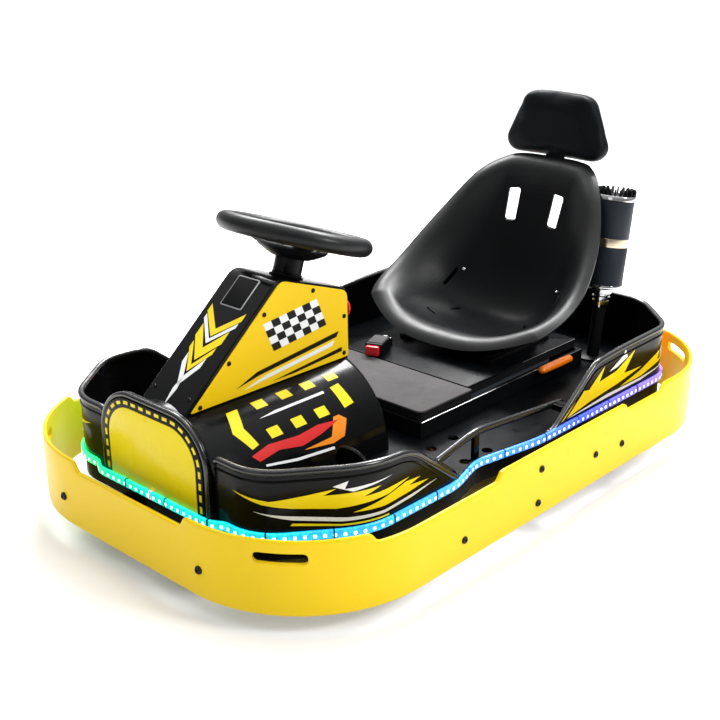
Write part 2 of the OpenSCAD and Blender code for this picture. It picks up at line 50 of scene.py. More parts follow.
def material(name, base, rough, metallic=0.0, coat=0.0, coat_rough=0.06, spec=0.5, var=0.05, var_scale=4.0,
             rvar=0.07, rscale=22.0, bumps=((420.0, 0.10, 0.0003),), grain="noise", sheen=0.0, scuff=0.0):
    """Principled surface with mottled colour, uneven roughness, fine relief and light scuffs, all in object space."""
    m = bpy.data.materials.new(name)
    m.use_nodes = True
    nodes, links = links_of(m)
    p = nodes["Principled BSDF"]
    p.inputs["Metallic"].default_value = metallic
    p.inputs["Coat Weight"].default_value = coat
    p.inputs["Coat Roughness"].default_value = coat_rough
    p.inputs["Specular IOR Level"].default_value = spec
    p.inputs["Sheen Weight"].default_value = sheen
    tc = nodes.new("ShaderNodeTexCoord")

    def noise(scale, detail=4.0, rough_=0.55):
        n = nodes.new("ShaderNodeTexNoise")
        n.inputs["Scale"].default_value = scale
        n.inputs["Detail"].default_value = detail
        n.inputs["Roughness"].default_value = rough_
        links.new(tc.outputs["Object"], n.inputs["Vector"])
        return n.outputs["Fac"]

    def ranged(fac, a, b, lo=0.3, hi=0.7):
        r = nodes.new("ShaderNodeMapRange")
        r.inputs["From Min"].default_value = lo
        r.inputs["From Max"].default_value = hi
        r.inputs["To Min"].default_value = a
        r.inputs["To Max"].default_value = b
        links.new(fac, r.inputs["Value"])
        return r.outputs["Result"]

    mix = nodes.new("ShaderNodeMix")
    mix.data_type = "RGBA"
    a = [max(0.0, c * (1 - var)) for c in base]
    b = [min(1.0, c * (1 + var)) for c in base]
    mix.inputs[6].default_value = (*a, 1)
    mix.inputs[7].default_value = (*b, 1)
    links.new(ranged(noise(var_scale), 0, 1), mix.inputs[0])
    colour = mix.outputs[2]
    rough_fac = ranged(noise(rscale, 6.0), max(0.02, rough - rvar), min(1.0, rough + rvar))
    if scuff > 0:
        mp = nodes.new("ShaderNodeMapping")
        mp.inputs["Scale"].default_value = (9, 9, 120)
        links.new(tc.outputs["Object"], mp.inputs["Vector"])
        n = nodes.new("ShaderNodeTexNoise")
        n.inputs["Scale"].default_value = 3.0
        n.inputs["Detail"].default_value = 8.0
        links.new(mp.outputs["Vector"], n.inputs["Vector"])
        s = ranged(n.outputs["Fac"], 0, scuff, 0.62, 0.74)
        add = nodes.new("ShaderNodeMath")
        add.operation = "ADD"
        links.new(rough_fac, add.inputs[0])
        links.new(s, add.inputs[1])
        rough_fac = add.outputs[0]
    links.new(colour, p.inputs["Base Color"])
    links.new(rough_fac, p.inputs["Roughness"])
    normal = None
    for scale, strength, dist in bumps:
        bump = nodes.new("ShaderNodeBump")
        bump.inputs["Strength"].default_value = strength
        bump.inputs["Distance"].default_value = dist
        if grain == "leather" and scale > 150:
            v = nodes.new("ShaderNodeTexVoronoi")
            v.feature = "DISTANCE_TO_EDGE"
            v.inputs["Scale"].default_value = scale
            links.new(tc.outputs["Object"], v.inputs["Vector"])
            h = ranged(v.outputs["Distance"], 0, 1, 0.0, 0.25)
        else:
            h = noise(scale, 5.0)
        links.new(h, bump.inputs["Height"])
        if normal is not None:
            links.new(normal, bump.inputs["Normal"])
        normal = bump.outputs["Normal"]
    if normal is not None:
        links.new(normal, p.inputs["Normal"])
    return m


YELLOW = material("yellow_moulded", (0.79, 0.545, 0.005), 0.32, coat=0.05, coat_rough=0.15, var=0.02, rvar=0.05, spec=0.16,
                  bumps=((14.0, 0.02, 0.0012), (900.0, 0.04, 0.0002)), scuff=0.05)
PANEL = material("yellow_sheet", (0.86, 0.560, 0.004), 0.40, coat=0.0, var=0.02, spec=0.16, bumps=((30.0, 0.02, 0.0006), (1100.0, 0.05, 0.0002)), scuff=0.05)
STRIPE_Y = material("stripe_yellow", (0.88, 0.66, 0.004), 0.36, coat=0.1, var=0.03, spec=0.25, bumps=((700.0, 0.05, 0.0002),))
STRIPE_W = material("stripe_white", (0.82, 0.83, 0.83), 0.36, coat=0.1, var=0.03, spec=0.25, bumps=((700.0, 0.05, 0.0002),))
STRIPE_R = material("stripe_red", (0.60, 0.006, 0.005), 0.36, coat=0.1, var=0.05, spec=0.25, bumps=((700.0, 0.05, 0.0002),))
STRIPE_O = material("stripe_orange", (0.85, 0.25, 0.006), 0.36, coat=0.1, var=0.05, spec=0.25, bumps=((700.0, 0.05, 0.0002),))
STRIPE_K = material("stripe_black", (0.003, 0.003, 0.0034), 0.34, coat=0.03, var=0.1, spec=0.1, bumps=((700.0, 0.05, 0.0002),))
GLOSS = material("black_gloss", (0.0024, 0.0026, 0.0030), 0.20, coat=0.06, coat_rough=0.08, var=0.15, spec=0.1,
                 bumps=((26.0, 0.04, 0.0012), (800.0, 0.05, 0.0002)), scuff=0.10)
RIM = material("black_rim", (0.0030, 0.0032, 0.0036), 0.24, coat=0.30, coat_rough=0.12, var=0.15, spec=0.5,
               bumps=((26.0, 0.03, 0.0010), (800.0, 0.05, 0.0002)), scuff=0.08)
# the nose plate is a brighter, greener copy of the bumper yellow: painted extra light on the front-facing plate and a
# painted green glow from the light strip
PLATE = material("plate_yellow", (0.83, 0.655, 0.006), 0.30, coat=0.06, coat_rough=0.10, var=0.03, spec=0.16, bumps=((18.0, 0.03, 0.0010), (900.0, 0.04, 0.0002)), scuff=0.06)
SATIN = material("black_satin", (0.0036, 0.0039, 0.0046), 0.40, coat=0.02, coat_rough=0.3, var=0.2, spec=0.07, bumps=((520.0, 0.20, 0.0004), (60.0, 0.05, 0.0008)), scuff=0.1)
FLOOR = material("floor_paint", (0.0026, 0.0030, 0.0038), 0.32, coat=0.02, coat_rough=0.2, var=0.25, var_scale=9, spec=0.05, bumps=((340.0, 0.20, 0.0005),), scuff=0.15)
SEATM = material("seat_plastic", (0.0034, 0.0038, 0.0045), 0.40, coat=0.0, coat_rough=0.25, var=0.18, rvar=0.05, spec=0.09,
                 bumps=((1000.0, 0.14, 0.0003), (30.0, 0.04, 0.0010)), scuff=0.05)
# the seat's rolled edge is rubbed smoother towards its crown
SEAT_EDGE = [material(f"seat_edge_{k}", (0.0036, 0.0040, 0.0048), 0.39, var=0.18, rvar=0.05, spec=v, bumps=((1000.0, 0.14, 0.0003), (30.0, 0.04, 0.0010)), scuff=0.05)
             for k, v in enumerate((0.10, 0.125, 0.16, 0.20, 0.24, 0.27, 0.295, 0.31))]
SLEEVE = material("sleeve_skin", (0.0100, 0.0135, 0.0200), 0.46, var=0.15, spec=0.2, bumps=((600.0, 0.2, 0.0003), (60.0, 0.04, 0.0008)))
LEATHER = material("pad_skin", (0.0034, 0.0042, 0.0052), 0.44, var=0.2, rvar=0.07, spec=0.06, bumps=((520.0, 0.14, 0.0003), (40.0, 0.05, 0.0008)), grain="leather", sheen=0.01)
GRIP = material("grip_foam", (0.0044, 0.0047, 0.0055), 0.40, var=0.2, rvar=0.06, spec=0.24, bumps=((760.0, 0.16, 0.0003), (60.0, 0.04, 0.0008)), grain="leather", coat=0.06)
MAT_TOP = material("lid_mat", (0.078, 0.074, 0.075), 0.80, var=0.10, var_scale=30, rvar=0.08, bumps=((900.0, 0.35, 0.0005), (120.0, 0.12, 0.0006)), spec=0.08)
PAINT = material("frame_paint", (0.0060, 0.0060, 0.0068), 0.38, coat=0.03, coat_rough=0.2, var=0.25, spec=0.12, bumps=((240.0, 0.18, 0.0005),), scuff=0.15)
STEEL = material("bare_steel", (0.46, 0.46, 0.47), 0.34, metallic=1.0, var=0.10, rvar=0.10, bumps=((520.0, 0.12, 0.0003),), scuff=0.15)
ALLOY = material("cast_alloy", (0.55, 0.55, 0.565), 0.42, metallic=1.0, var=0.10, rvar=0.10, bumps=((300.0, 0.20, 0.0004),))
CHROME = material("chrome", (0.72, 0.72, 0.73), 0.10, metallic=1.0, var=0.03, rvar=0.04, bumps=((90.0, 0.03, 0.0004),))
BRASS = material("brass", (0.78, 0.56, 0.20), 0.20, metallic=1.0, var=0.08, rvar=0.06, bumps=((200.0, 0.06, 0.0003),))
PALE_BRASS = material("pale_brass", (0.66, 0.56, 0.40), 0.22, metallic=1.0, var=0.08, rvar=0.06, bumps=((200.0, 0.06, 0.0003),))
RED = material("red_plastic", (0.60, 0.005, 0.005), 0.26, coat=0.3, var=0.06, bumps=((600.0, 0.06, 0.0002),))
ORANGE = material("orange_plastic", (0.90, 0.20, 0.004), 0.30, coat=0.2, var=0.06, bumps=((600.0, 0.08, 0.0003),), scuff=0.1)
TYRE = material("tyre_rubber", (0.008, 0.008, 0.0085), 0.66, var=0.25, rvar=0.08, bumps=((420.0, 0.30, 0.0005),), spec=0.3)
BOLT = material("black_bolt", (0.008, 0.008, 0.010), 0.34, metallic=0.6, var=0.2, bumps=((900.0, 0.1, 0.0002),))
CASE = material("battery_case", (0.05, 0.062, 0.075), 0.5, var=0.15, bumps=((400.0, 0.2, 0.0004),))


def led_material():
    m = bpy.data.materials.new("led_tube")
    m.use_nodes = True
    nodes, links = links_of(m)
    p = nodes["Principled BSDF"]
    at = nodes.new("ShaderNodeAttribute")
    at.attribute_name = "run"
    ramp = nodes.new("ShaderNodeValToRGB")
    e = ramp.color_ramp.elements
    # along the strip, from the nose round the driver's left side to the tail and back along the right side
    stops = [(0.0, (0.0, 0.82, 0.66)), (0.05, (0.0, 0.74, 0.80)), (0.11, (0.02, 0.42, 0.95)), (0.18, (0.06, 0.40, 1.0)), (0.24, (0.05, 0.26, 1.0)),
             (0.30, (0.06, 0.11, 1.0)), (0.38, (0.26, 0.18, 1.0)), (0.43, (1.2, 0.20, 0.50)), (0.46, (13.0, 0.16, 0.10)), (0.54, (13.0, 0.16, 0.06)),
             (0.64, (0.9, 0.1, 0.5)), (0.74, (0.25, 0.2, 1.0)), (0.83, (0.02, 0.55, 0.75)), (0.87, (0.02, 3.2, 0.40)), (0.935, (0.02, 3.2, 0.40)), (0.96, (0.0, 0.86, 0.42)), (1.0, (0.0, 0.82, 0.66))]
    e[0].position, e[0].color = stops[0][0], (*stops[0][1], 1)
    e[1].position, e[1].color = stops[-1][0], (*stops[-1][1], 1)
    for pos, c in stops[1:-1]:
        n = e.new(pos)
        n.color = (*c, 1)
    links.new(at.outputs["Fac"], ramp.inputs["Fac"])
    tc = nodes.new("ShaderNodeTexCoord")
    vor = nodes.new("ShaderNodeTexVoronoi")
    vor.inputs["Scale"].default_value = 150
    links.new(tc.outputs["Object"], vor.inputs["Vector"])
    r = nodes.new("ShaderNodeMapRange")
    r.inputs["From Min"].default_value = 0.1
    r.inputs["From Max"].default_value = 0.7
    r.inputs["To Min"].default_value = 1.35
    r.inputs["To Max"].default_value = 0.60
    links.new(vor.outputs["Distance"], r.inputs["Value"])
    links.new(ramp.outputs["Color"], p.inputs["Base Color"])
    links.new(ramp.outputs["Color"], p.inputs["Emission Color"])
    links.new(r.outputs["Result"], p.inputs["Emission Strength"])
    p.inputs["Roughness"].default_value = 0.18
    p.inputs["Coat Weight"].default_value = 0.4
    return m


def lamp_material():
    m = bpy.data.materials.new("led_chip")
    m.use_nodes = True
    nodes, links = links_of(m)
    p = nodes["Principled BSDF"]
    tc = nodes.new("ShaderNodeTexCoord")
    n = nodes.new("ShaderNodeTexNoise")
    n.inputs["Scale"].default_value = 40
    links.new(tc.outputs["Object"], n.inputs["Vector"])
    r = nodes.new("ShaderNodeMapRange")
    r.inputs["From Min"].default_value = 0.3
    r.inputs["From Max"].default_value = 0.7
    r.inputs["To Min"].default_value = 1.0
    r.inputs["To Max"].default_value = 1.7
    links.new(n.outputs["Fac"], r.inputs["Value"])
    links.new(r.outputs["Result"], p.inputs["Emission Strength"])
    p.inputs["Emission Color"].default_value = (0.80, 0.93, 1.0, 1)
    p.inputs["Base Color"].default_value = (0.9, 0.95, 1.0, 1)
    p.inputs["Roughness"].default_value = 0.25
    return m


LED = led_material()
LAMP = lamp_material()


# ------------------------------------------------------------------ mesh helpers
def add_object(name, mesh, body="chassis", mat=None, replaces=(), angle=38):
    o = bpy.data.objects.new(name, mesh)
    scene.collection.objects.link(o)
    if mat is not None:
        for one in (mat if isinstance(mat, (list, tuple)) else [mat]):
            mesh.materials.append(one)
    mesh.polygons.foreach_set("use_smooth", [True] * len(mesh.polygons))
    mesh.set_sharp_from_angle(angle=math.radians(angle))
    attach(o, body)
    if replaces:
        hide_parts(*replaces)
    return o


def mesh_from(name, verts, faces, weld=0.01, normals=True):
    """A mesh from millimetre points, with doubles merged and normals out."""
    me = bpy.data.meshes.new(name)
    me.from_pydata([(v[0] * K, v[1] * K, v[2] * K) for v in verts], [], faces)
    bm = bmesh.new()
    bm.from_mesh(me)
    bmesh.ops.remove_doubles(bm, verts=bm.verts, dist=weld * K)
    bmesh.ops.dissolve_degenerate(bm, edges=bm.edges, dist=1e-7)
    if normals:
        bmesh.ops.recalc_face_normals(bm, faces=bm.faces)
    bm.to_mesh(me)
    bm.free()
    me.update()
    return me


class Soup:
    """Collects several closed shapes into one mesh, each face with its material number."""
    def __init__(self):
        self.v, self.f, self.m = [], [], []

    def add(self, verts, faces, mat=0):
        n = len(self.v)
        self.v += [tuple(p) for p in verts]
        self.f += [tuple(i + n for i in f) for f in faces]
        self.m += [mat] * len(faces)
        return self

    def build(self, name, mats, body="chassis", slot=None, replaces=(), angle=38, weld=None):
        me = bpy.data.meshes.new(name)
        me.from_pydata([(a * K, b * K, c * K) for a, b, c in self.v], [], self.f)
        for one in (mats if isinstance(mats, (list, tuple)) else [mats]):
            me.materials.append(one)
        me.polygons.foreach_set("material_index", self.m)
        bm = bmesh.new()
        bm.from_mesh(me)
        if weld:
            bmesh.ops.remove_doubles(bm, verts=bm.verts, dist=weld * K)
        bmesh.ops.recalc_face_normals(bm, faces=bm.faces)
        bm.to_mesh(me)
        bm.free()
        return add_object(name, me, body, None, replaces, angle)


def loops_to_faces(rings, closed_ring=True, cap0=True, cap1=True, closed_run=False):
    """Vertices and faces of a skin over equal rings of points."""
    n = len(rings[0])
    verts = [p for r in rings for p in r]
    faces = []
    runs = len(rings)
    last = runs if closed_run else runs - 1
    for i in range(last):
        a, b = i * n, ((i + 1) % runs) * n
        for j in range(n if closed_ring else n - 1):
            k = (j + 1) % n
            faces.append((a + j, a + k, b + k, b + j))
    if not closed_run:
        if cap0:
            faces.append(tuple(range(n))[::-1])
        if cap1:
            faces.append(tuple((runs - 1) * n + j for j in range(n)))
    return verts, faces


def fillet(pts, rads, n=7, closed=False):
    """Rounds the corners of a polyline; each corner has its own radius."""
    out = []
    m = len(pts)
    for i, p in enumerate(pts):
        r = rads[i] if isinstance(rads, (list, tuple)) else rads
        if r <= 0 or (not closed and i in (0, m - 1)):
            out.append(tuple(p))
            continue
        a, b, c = V(pts[i - 1]), V(p), V(pts[(i + 1) % m])
        d1, d2 = (a - b), (c - b)
        t = min(r, d1.length * 0.49, d2.length * 0.49)
        s, e = b + d1.normalized() * t, b + d2.normalized() * t
        for k in range(n + 1):
            u = k / n
            out.append(tuple(s * (1 - u) ** 2 + b * 2 * u * (1 - u) + e * u * u))
    return out


def offset_loop(pts, d):
    """Moves a closed counter-clockwise outline inwards by d."""
    out = []
    n = len(pts)
    for i in range(n):
        a, b, c = V(pts[i - 1]), V(pts[i]), V(pts[(i + 1) % n])
        e1, e2 = (b - a), (c - b)
        if e1.length < 1e-9:
            e1 = e2
        if e2.length < 1e-9:
            e2 = e1
        n1 = V((-e1.y, e1.x)).normalized()
        n2 = V((-e2.y, e2.x)).normalized()
        m = (n1 + n2)
        m = m / max(m.length_squared, 1e-9) * 2
        if m.length > 2.2:
            m = m.normalized() * 2.2
        out.append(tuple(b + m * d))
    return out


def area2(pts):
    return sum(pts[i - 1][0] * pts[i][1] - pts[i][0] * pts[i - 1][1] for i in range(len(pts)))


def prism(outline, place, h0, h1, r=2.0, steps=3):
    """A plate from an outline, between two heights, with all its edges rounded by r. place(u, v, h) gives the point."""
    pts = list(outline)
    if area2(pts) < 0:
        pts = pts[::-1]
    rings = []
    for k in range(steps + 1):
        a = math.pi / 2 * k / steps
        o = offset_loop(pts, r * (1 - math.sin(a)))
        rings.append([place(u, v, h0 + r * (1 - math.cos(a))) for u, v in o])
    for k in range(steps + 1):
        a = math.pi / 2 * k / steps
        o = offset_loop(pts, r * (1 - math.cos(a)))
        rings.append([place(u, v, h1 - r * (1 - math.sin(a))) for u, v in o])
    return loops_to_faces(rings)


def lathe(profile, origin, axis, seg=48, start=None, cap=True):
    """Turns a profile of (radius, height) about an axis."""
    z = V(axis).normalized()
    x = z.orthogonal().normalized() if start is None else (V(start) - z * V(start).dot(z)).normalized()
    y = z.cross(x)
    rings = []
    for r, h in profile:
        rings.append([tuple(V(origin) + z * h + (x * math.cos(t) + y * math.sin(t)) * r)
                      for t in (2 * math.pi * i / seg for i in range(seg))])
    return loops_to_faces(rings, cap0=cap, cap1=cap)


def tube(pts, r, seg=14, closed=False, round_ends=True, flat=1.0, up=None):
    """A round bar along points; flat squeezes it along up."""
    P = [V(p) for p in pts]
    n = len(P)
    tang = []
    for i in range(n):
        a = P[i - 1] if (closed or i > 0) else P[i]
        b = P[(i + 1) % n] if (closed or i < n - 1) else P[i]
        tang.append((b - a).normalized())
    ref = V(up) if up is not None else tang[0].orthogonal()
    frames = []
    for t in tang:
        x = (ref - t * ref.dot(t))
        x = x.normalized() if x.length > 1e-6 else t.orthogonal().normalized()
        if up is None:
            ref = x
        frames.append((x, t.cross(x)))
    rings = []

    def ring(c, fr, rr):
        return [tuple(c + fr[0] * math.cos(a) * rr * flat + fr[1] * math.sin(a) * rr) for a in (2 * math.pi * i / seg for i in range(seg))]
    rad = r if callable(r) else (lambda i: r)
    if not closed and round_ends:
        for k in range(4, 0, -1):
            a = math.pi / 2 * k / 4.3
            rings.append(ring(P[0] - tang[0] * rad(0) * math.sin(a), frames[0], rad(0) * math.cos(a)))
    for i in range(n):
        rings.append(ring(P[i], frames[i], rad(i)))
    if not closed and round_ends:
        for k in range(1, 5):
            a = math.pi / 2 * k / 4.3
            rings.append(ring(P[-1] + tang[-1] * rad(n - 1) * math.sin(a), frames[-1], rad(n - 1) * math.cos(a)))
    return loops_to_faces(rings, closed_run=closed)


def rounded_box(lo, hi, r=3.0, steps=3):
    outline = fillet([(lo[0], lo[1]), (hi[0], lo[1]), (hi[0], hi[1]), (lo[0], hi[1])], r, 4, True)
    return prism(outline, lambda u, v, h: (u, v, h), lo[2], hi[2], r * 0.7, steps)


def moved(shape, m):
    return [tuple(m @ V(p)) for p in shape[0]], shape[1]


def screw_heads(name, spots, mat, body="chassis", slot="steel"):
    """Button heads with a socket, joined into one mesh: (point, way out, radius) each."""
    s = Soup()
    for pos, out, r in spots:
        prof = [(0.05 * r, -0.15 * r), (r, -0.15 * r), (r, 0.18 * r), (0.93 * r, 0.36 * r), (0.72 * r, 0.52 * r), (0.52 * r, 0.57 * r),
                (0.47 * r, 0.55 * r), (0.45 * r, 0.2 * r), (0.02 * r, 0.2 * r)]
        s.add(*lathe(prof, pos, out, 20))
    return s.build(name, mat, body, slot)


def cut(o, shapes, name="cut"):
    """Cuts closed shapes out of a piece and keeps only the result."""
    for i, (v, f) in enumerate(shapes):
        me = mesh_from(f"{name}{i}", v, f)
        c = bpy.data.objects.new(f"{name}{i}", me)
        scene.collection.objects.link(c)
        mod = o.modifiers.new("cut", "BOOLEAN")
        mod.operation = "DIFFERENCE"
        mod.solver = "EXACT"
        mod.object = c
        bpy.context.view_layer.update()
        dg = bpy.context.evaluated_depsgraph_get()
        fresh = bpy.data.meshes.new_from_object(o.evaluated_get(dg), preserve_all_data_layers=True, depsgraph=dg)
        o.modifiers.clear()
        old = o.data
        o.data = fresh
        bpy.data.meshes.remove(old)
        bpy.data.objects.remove(c)
    return o


def paint(node, mat, bevel=1.2):
    """Gives a CAD node its finish and softly rounded edges."""
    o = NODES[node]
    o.data.materials.clear()
    o.data.materials.append(mat)
    w = o.modifiers.new("weld", "WELD")
    w.merge_threshold = 0.00002
    if bevel:
        b = o.modifiers.new("edge", "BEVEL")
        b.width = bevel * K
        b.segments = 2
        b.limit_method = "ANGLE"
        b.angle_limit = math.radians(48)
        b.use_clamp_overlap = True


# ------------------------------------------------------------------ camera, floor and light
az, el, roll = math.radians(133.243), math.radians(21.123), math.radians(-0.283)
back = V((math.sin(az) * math.cos(el), -math.cos(az) * math.cos(el), math.sin(el)))
right = V((math.cos(az), math.sin(az), 0))
upv = back.cross(right)
right, upv = right * math.cos(roll) + upv * math.sin(roll), upv * math.cos(roll) - right * math.sin(roll)
cam_data = bpy.data.cameras.new("camera")
cam_data.lens = 60
cam_data.sensor_width = 36
cam = bpy.data.objects.new("camera", cam_data)
scene.collection.objects.link(cam)
m3 = Matrix((right, upv, back)).transposed()
cam.matrix_world = Matrix.Translation((1.72715, 1.54014, 1.10459)) @ m3.to_4x4()
scene.camera = cam

floor_me = bpy.data.meshes.new("studio_floor")
floor_me.from_pydata([(-14, -14, 0), (14, -14, 0), (14, 14, 0), (-14, 14, 0)], [], [(0, 1, 2, 3)])
studio = bpy.data.objects.new("studio_floor", floor_me)
scene.collection.objects.link(studio)
fm = bpy.data.materials.new("studio_floor")
fm.use_nodes = True
fp = fm.node_tree.nodes["Principled BSDF"]
fp.inputs["Base Color"].default_value = (0.92, 0.92, 0.92, 1)
fp.inputs["Roughness"].default_value = 0.55
fp.inputs["Specular IOR Level"].default_value = 0.25
floor_me.materials.append(fm)

world = bpy.data.worlds.new("studio") if scene.world is None else scene.world
scene.world = world
world.use_nodes = True
wn, wl = world.node_tree.nodes, world.node_tree.links
wn["Background"].inputs["Strength"].default_value = 2.4
sky = wn.new("ShaderNodeTexCoord")
part = wn.new("ShaderNodeSeparateXYZ")
fade = wn.new("ShaderNodeValToRGB")
fade.color_ramp.elements[0].color = (0.090, 0.090, 0.092, 1)
fade.color_ramp.elements[1].color = (1.0, 1.0, 1.0, 1)
half_way = fade.color_ramp.elements.new(0.5)
half_way.color = (0.205, 0.205, 0.206, 1)
# the sky is brightest overhead, a little behind the kart
turn = wn.new("ShaderNodeMapping")
turn.vector_type = "VECTOR"
turn.inputs["Rotation"].default_value = V((-0.25, -0.12, 0.96)).rotation_difference(V((0, 0, 1))).to_euler()
wl.new(sky.outputs["Generated"], turn.inputs["Vector"])
wl.new(turn.outputs["Vector"], part.inputs["Vector"])
wl.new(part.outputs["Z"], fade.inputs["Fac"])
wl.new(fade.outputs["Color"], wn["Background"].inputs["Color"])
scene.view_settings.view_transform = "Standard"


def area_light(name, at, aim, size, power, size_y=None):
    d = bpy.data.lights.new(name, "AREA")
    d.energy = power
    d.size = size
    if size_y:
        d.shape = "RECTANGLE"
        d.size_y = size_y
    o = bpy.data.objects.new(name, d)
    scene.collection.objects.link(o)
    o.location = at
    o.rotation_mode = "QUATERNION"
    o.rotation_quaternion = (V(aim) - V(at)).to_track_quat("-Z", "Y")
    return o


area_light("key", (-0.9, 3.2, 2.4), (0, 0, 0.2), 0.9, 72)
area_light("rear_top", (-1.8, -0.4, 2.6), (0.1, 0, 0.3), 0.8, 84, 0.5)
area_light("right_top", (-1.35, -1.55, 2.1), (-0.2, 0, 0.3), 1.5, 88, 0.9)
area_light("front_fill", (3.4, 0.2, 1.6), (0, 0, 0.2), 1.8, 7)


# ------------------------------------------------------------------ outlines in plan
class Plan:
    """A rounded rectangle walked counter-clockwise from the middle of the front; s is the way along it."""
    def __init__(self, length, width, r):
        self.l, self.w, self.r = length, width, r
        a, b = length / 2 - r, width / 2 - r
        q = math.pi * r / 2
        self.seg = [("l", b, (a + r, 0), (0, 1), (1, 0)), ("a", q, (a, b), 0), ("l", 2 * a, (a, b + r), (-1, 0), (0, 1)), ("a", q, (-a, b), 90),
                    ("l", 2 * b, (-a - r, b), (0, -1), (-1, 0)), ("a", q, (-a, -b), 180), ("l", 2 * a, (-a, -b - r), (1, 0), (0, -1)),
                    ("a", q, (a, -b), 270), ("l", b, (a + r, -b), (0, 1), (1, 0))]
        self.total = sum(g[1] for g in self.seg)

    def at(self, s):
        """(point, way out) in plan."""
        s %= self.total
        for g in self.seg:
            if s <= g[1] + 1e-9:
                if g[0] == "l":
                    return V((g[2][0] + g[3][0] * s, g[2][1] + g[3][1] * s)), V(g[4])
                t = math.radians(g[3]) + s / self.r
                n = V((math.cos(t), math.sin(t)))
                return V(g[2]) + n * self.r, n
            s -= g[1]
        return self.at(0)

    def place(self, s, z, d=0.0):
        p, n = self.at(s)
        return (p.x + n.x * d, p.y + n.y * d, z)

    def s_front(self, y):
        return y % self.total

    def s_side(self, x):
        """s of a point on the straight left side."""
        a, b = self.l / 2 - self.r, self.w / 2 - self.r
        return b + math.pi * self.r / 2 + (a - x)


class Outline:
    """A closed outline from its left half (x, y, arm of the rounding), walked counter-clockwise from the middle of the front."""
    def __init__(self, half, k=12):
        pts = [(x, -y, t) for x, y, t in reversed(half)] + list(half)
        n = len(pts)
        out = []
        for i, (x, y, t) in enumerate(pts):
            b = V((x, y))
            a = b + (V(pts[i - 1][:2]) - b).normalized() * t
            c = b + (V(pts[(i + 1) % n][:2]) - b).normalized() * t
            out += [a * (1 - u) ** 2 + b * 2 * u * (1 - u) + c * u * u for u in (j / k for j in range(k + 1))]
        first = next(i for i, q in enumerate(out) if q.y > 0)
        start = V((half[0][0], 0.0))
        self.p = [start] + out[first:] + out[:first] + [start]
        self.c = [0.0]
        for a, b in zip(self.p[:-1], self.p[1:]):
            self.c.append(self.c[-1] + (b - a).length)
        self.total = self.c[-1]

    def raw(self, s):
        s %= self.total
        i = min(max(bisect.bisect_right(self.c, s) - 1, 0), len(self.p) - 2)
        ln = self.c[i + 1] - self.c[i]
        return self.p[i].lerp(self.p[i + 1], (s - self.c[i]) / ln if ln > 1e-9 else 0.0)

    def at(self, s):
        d = self.raw(s + 4) - self.raw(s - 4)
        return self.raw(s), V((d.y, -d.x)).normalized()

    def place(self, s, z, d=0.0):
        p, n = self.at(s)
        return (p.x + n.x * d, p.y + n.y * d, z)

    def s_front(self, y):
        return y % self.total

    def s_side(self, x):
        """s of a point on the left side."""
        for i in range(len(self.p) - 1):
            a, b = self.p[i], self.p[i + 1]
            if a.y > 100 and a.x >= x >= b.x and a.x > b.x:
                return self.c[i] + (b - a).length * (a.x - x) / (a.x - b.x)
        return 0.0


def decal(soup, poly, place, mat, lift=0.5, sink=0.3, step=14.0, vstep=0.0):
    """A thin closed film of an outline (u, v), laid on a surface by place(u, v, h), cut fine along u so that it follows curves."""
    bm = bmesh.new()
    vs = [bm.verts.new((u, w, 0)) for u, w in poly]
    f = bm.faces.new(vs)
    bmesh.ops.triangulate(bm, faces=[f])
    us = [p[0] for p in poly]
    u = math.ceil(min(us) / step) * step
    while u < max(us):
        bmesh.ops.bisect_plane(bm, geom=bm.verts[:] + bm.edges[:] + bm.faces[:], plane_co=(u, 0, 0), plane_no=(1, 0, 0), dist=1e-4)
        u += step
    if vstep:
        ws = [p[1] for p in poly]
        w = math.ceil(min(ws) / vstep) * vstep
        while w < max(ws):
            bmesh.ops.bisect_plane(bm, geom=bm.verts[:] + bm.edges[:] + bm.faces[:], plane_co=(0, w, 0), plane_no=(0, 1, 0), dist=1e-4)
            w += vstep
    bmesh.ops.dissolve_degenerate(bm, edges=bm.edges[:], dist=1e-4)
    bm.verts.index_update()
    bm.verts.ensure_lookup_table()
    n = len(bm.verts)
    top = [place(v.co.x, v.co.y, lift) for v in bm.verts]
    low = [place(v.co.x, v.co.y, -sink) for v in bm.verts]
    faces = []
    for f in bm.faces:
        i = [v.index for v in f.verts]
        faces.append(tuple(i))
        faces.append(tuple(k + n for k in reversed(i)))
    for e in bm.edges:
        if len(e.link_faces) == 1:
            lp = e.link_loops[0]
            a, b = lp.vert.index, lp.link_loop_next.vert.index
            faces.append((b, a, a + n, b + n))
    bm.free()
    soup.add(top + low, faces, mat)


# ------------------------------------------------------------------ bumper ring
ring_plan = Plan(1350, 870, 265)
NOTCH = [("x", 1, 0, 142, 20), ("y", 1, 349, 145, 17), ("y", -1, 349, 145, 17), ("y", 1, -286, 60, 15), ("y", -1, -286, 60, 15), ("x", -1, 0, 142, 20)]


def soft_step(t):
    t = max(0.0, min(1.0, t))
    return t * t * (3 - 2 * t)


def ring_top(s):
    p, n = ring_plan.at(s)
    drop = 0.0
    for side, sg, mid, half, deep in NOTCH:
        if side == "x" and n.x * sg > 0.9:
            d = abs(p.y - mid)
        elif side == "y" and n.y * sg > 0.9:
            d = abs(p.x - mid)
        else:
            continue
        drop = max(drop, deep * soft_step((half + 16 - d) / 17))
    return 171 - drop


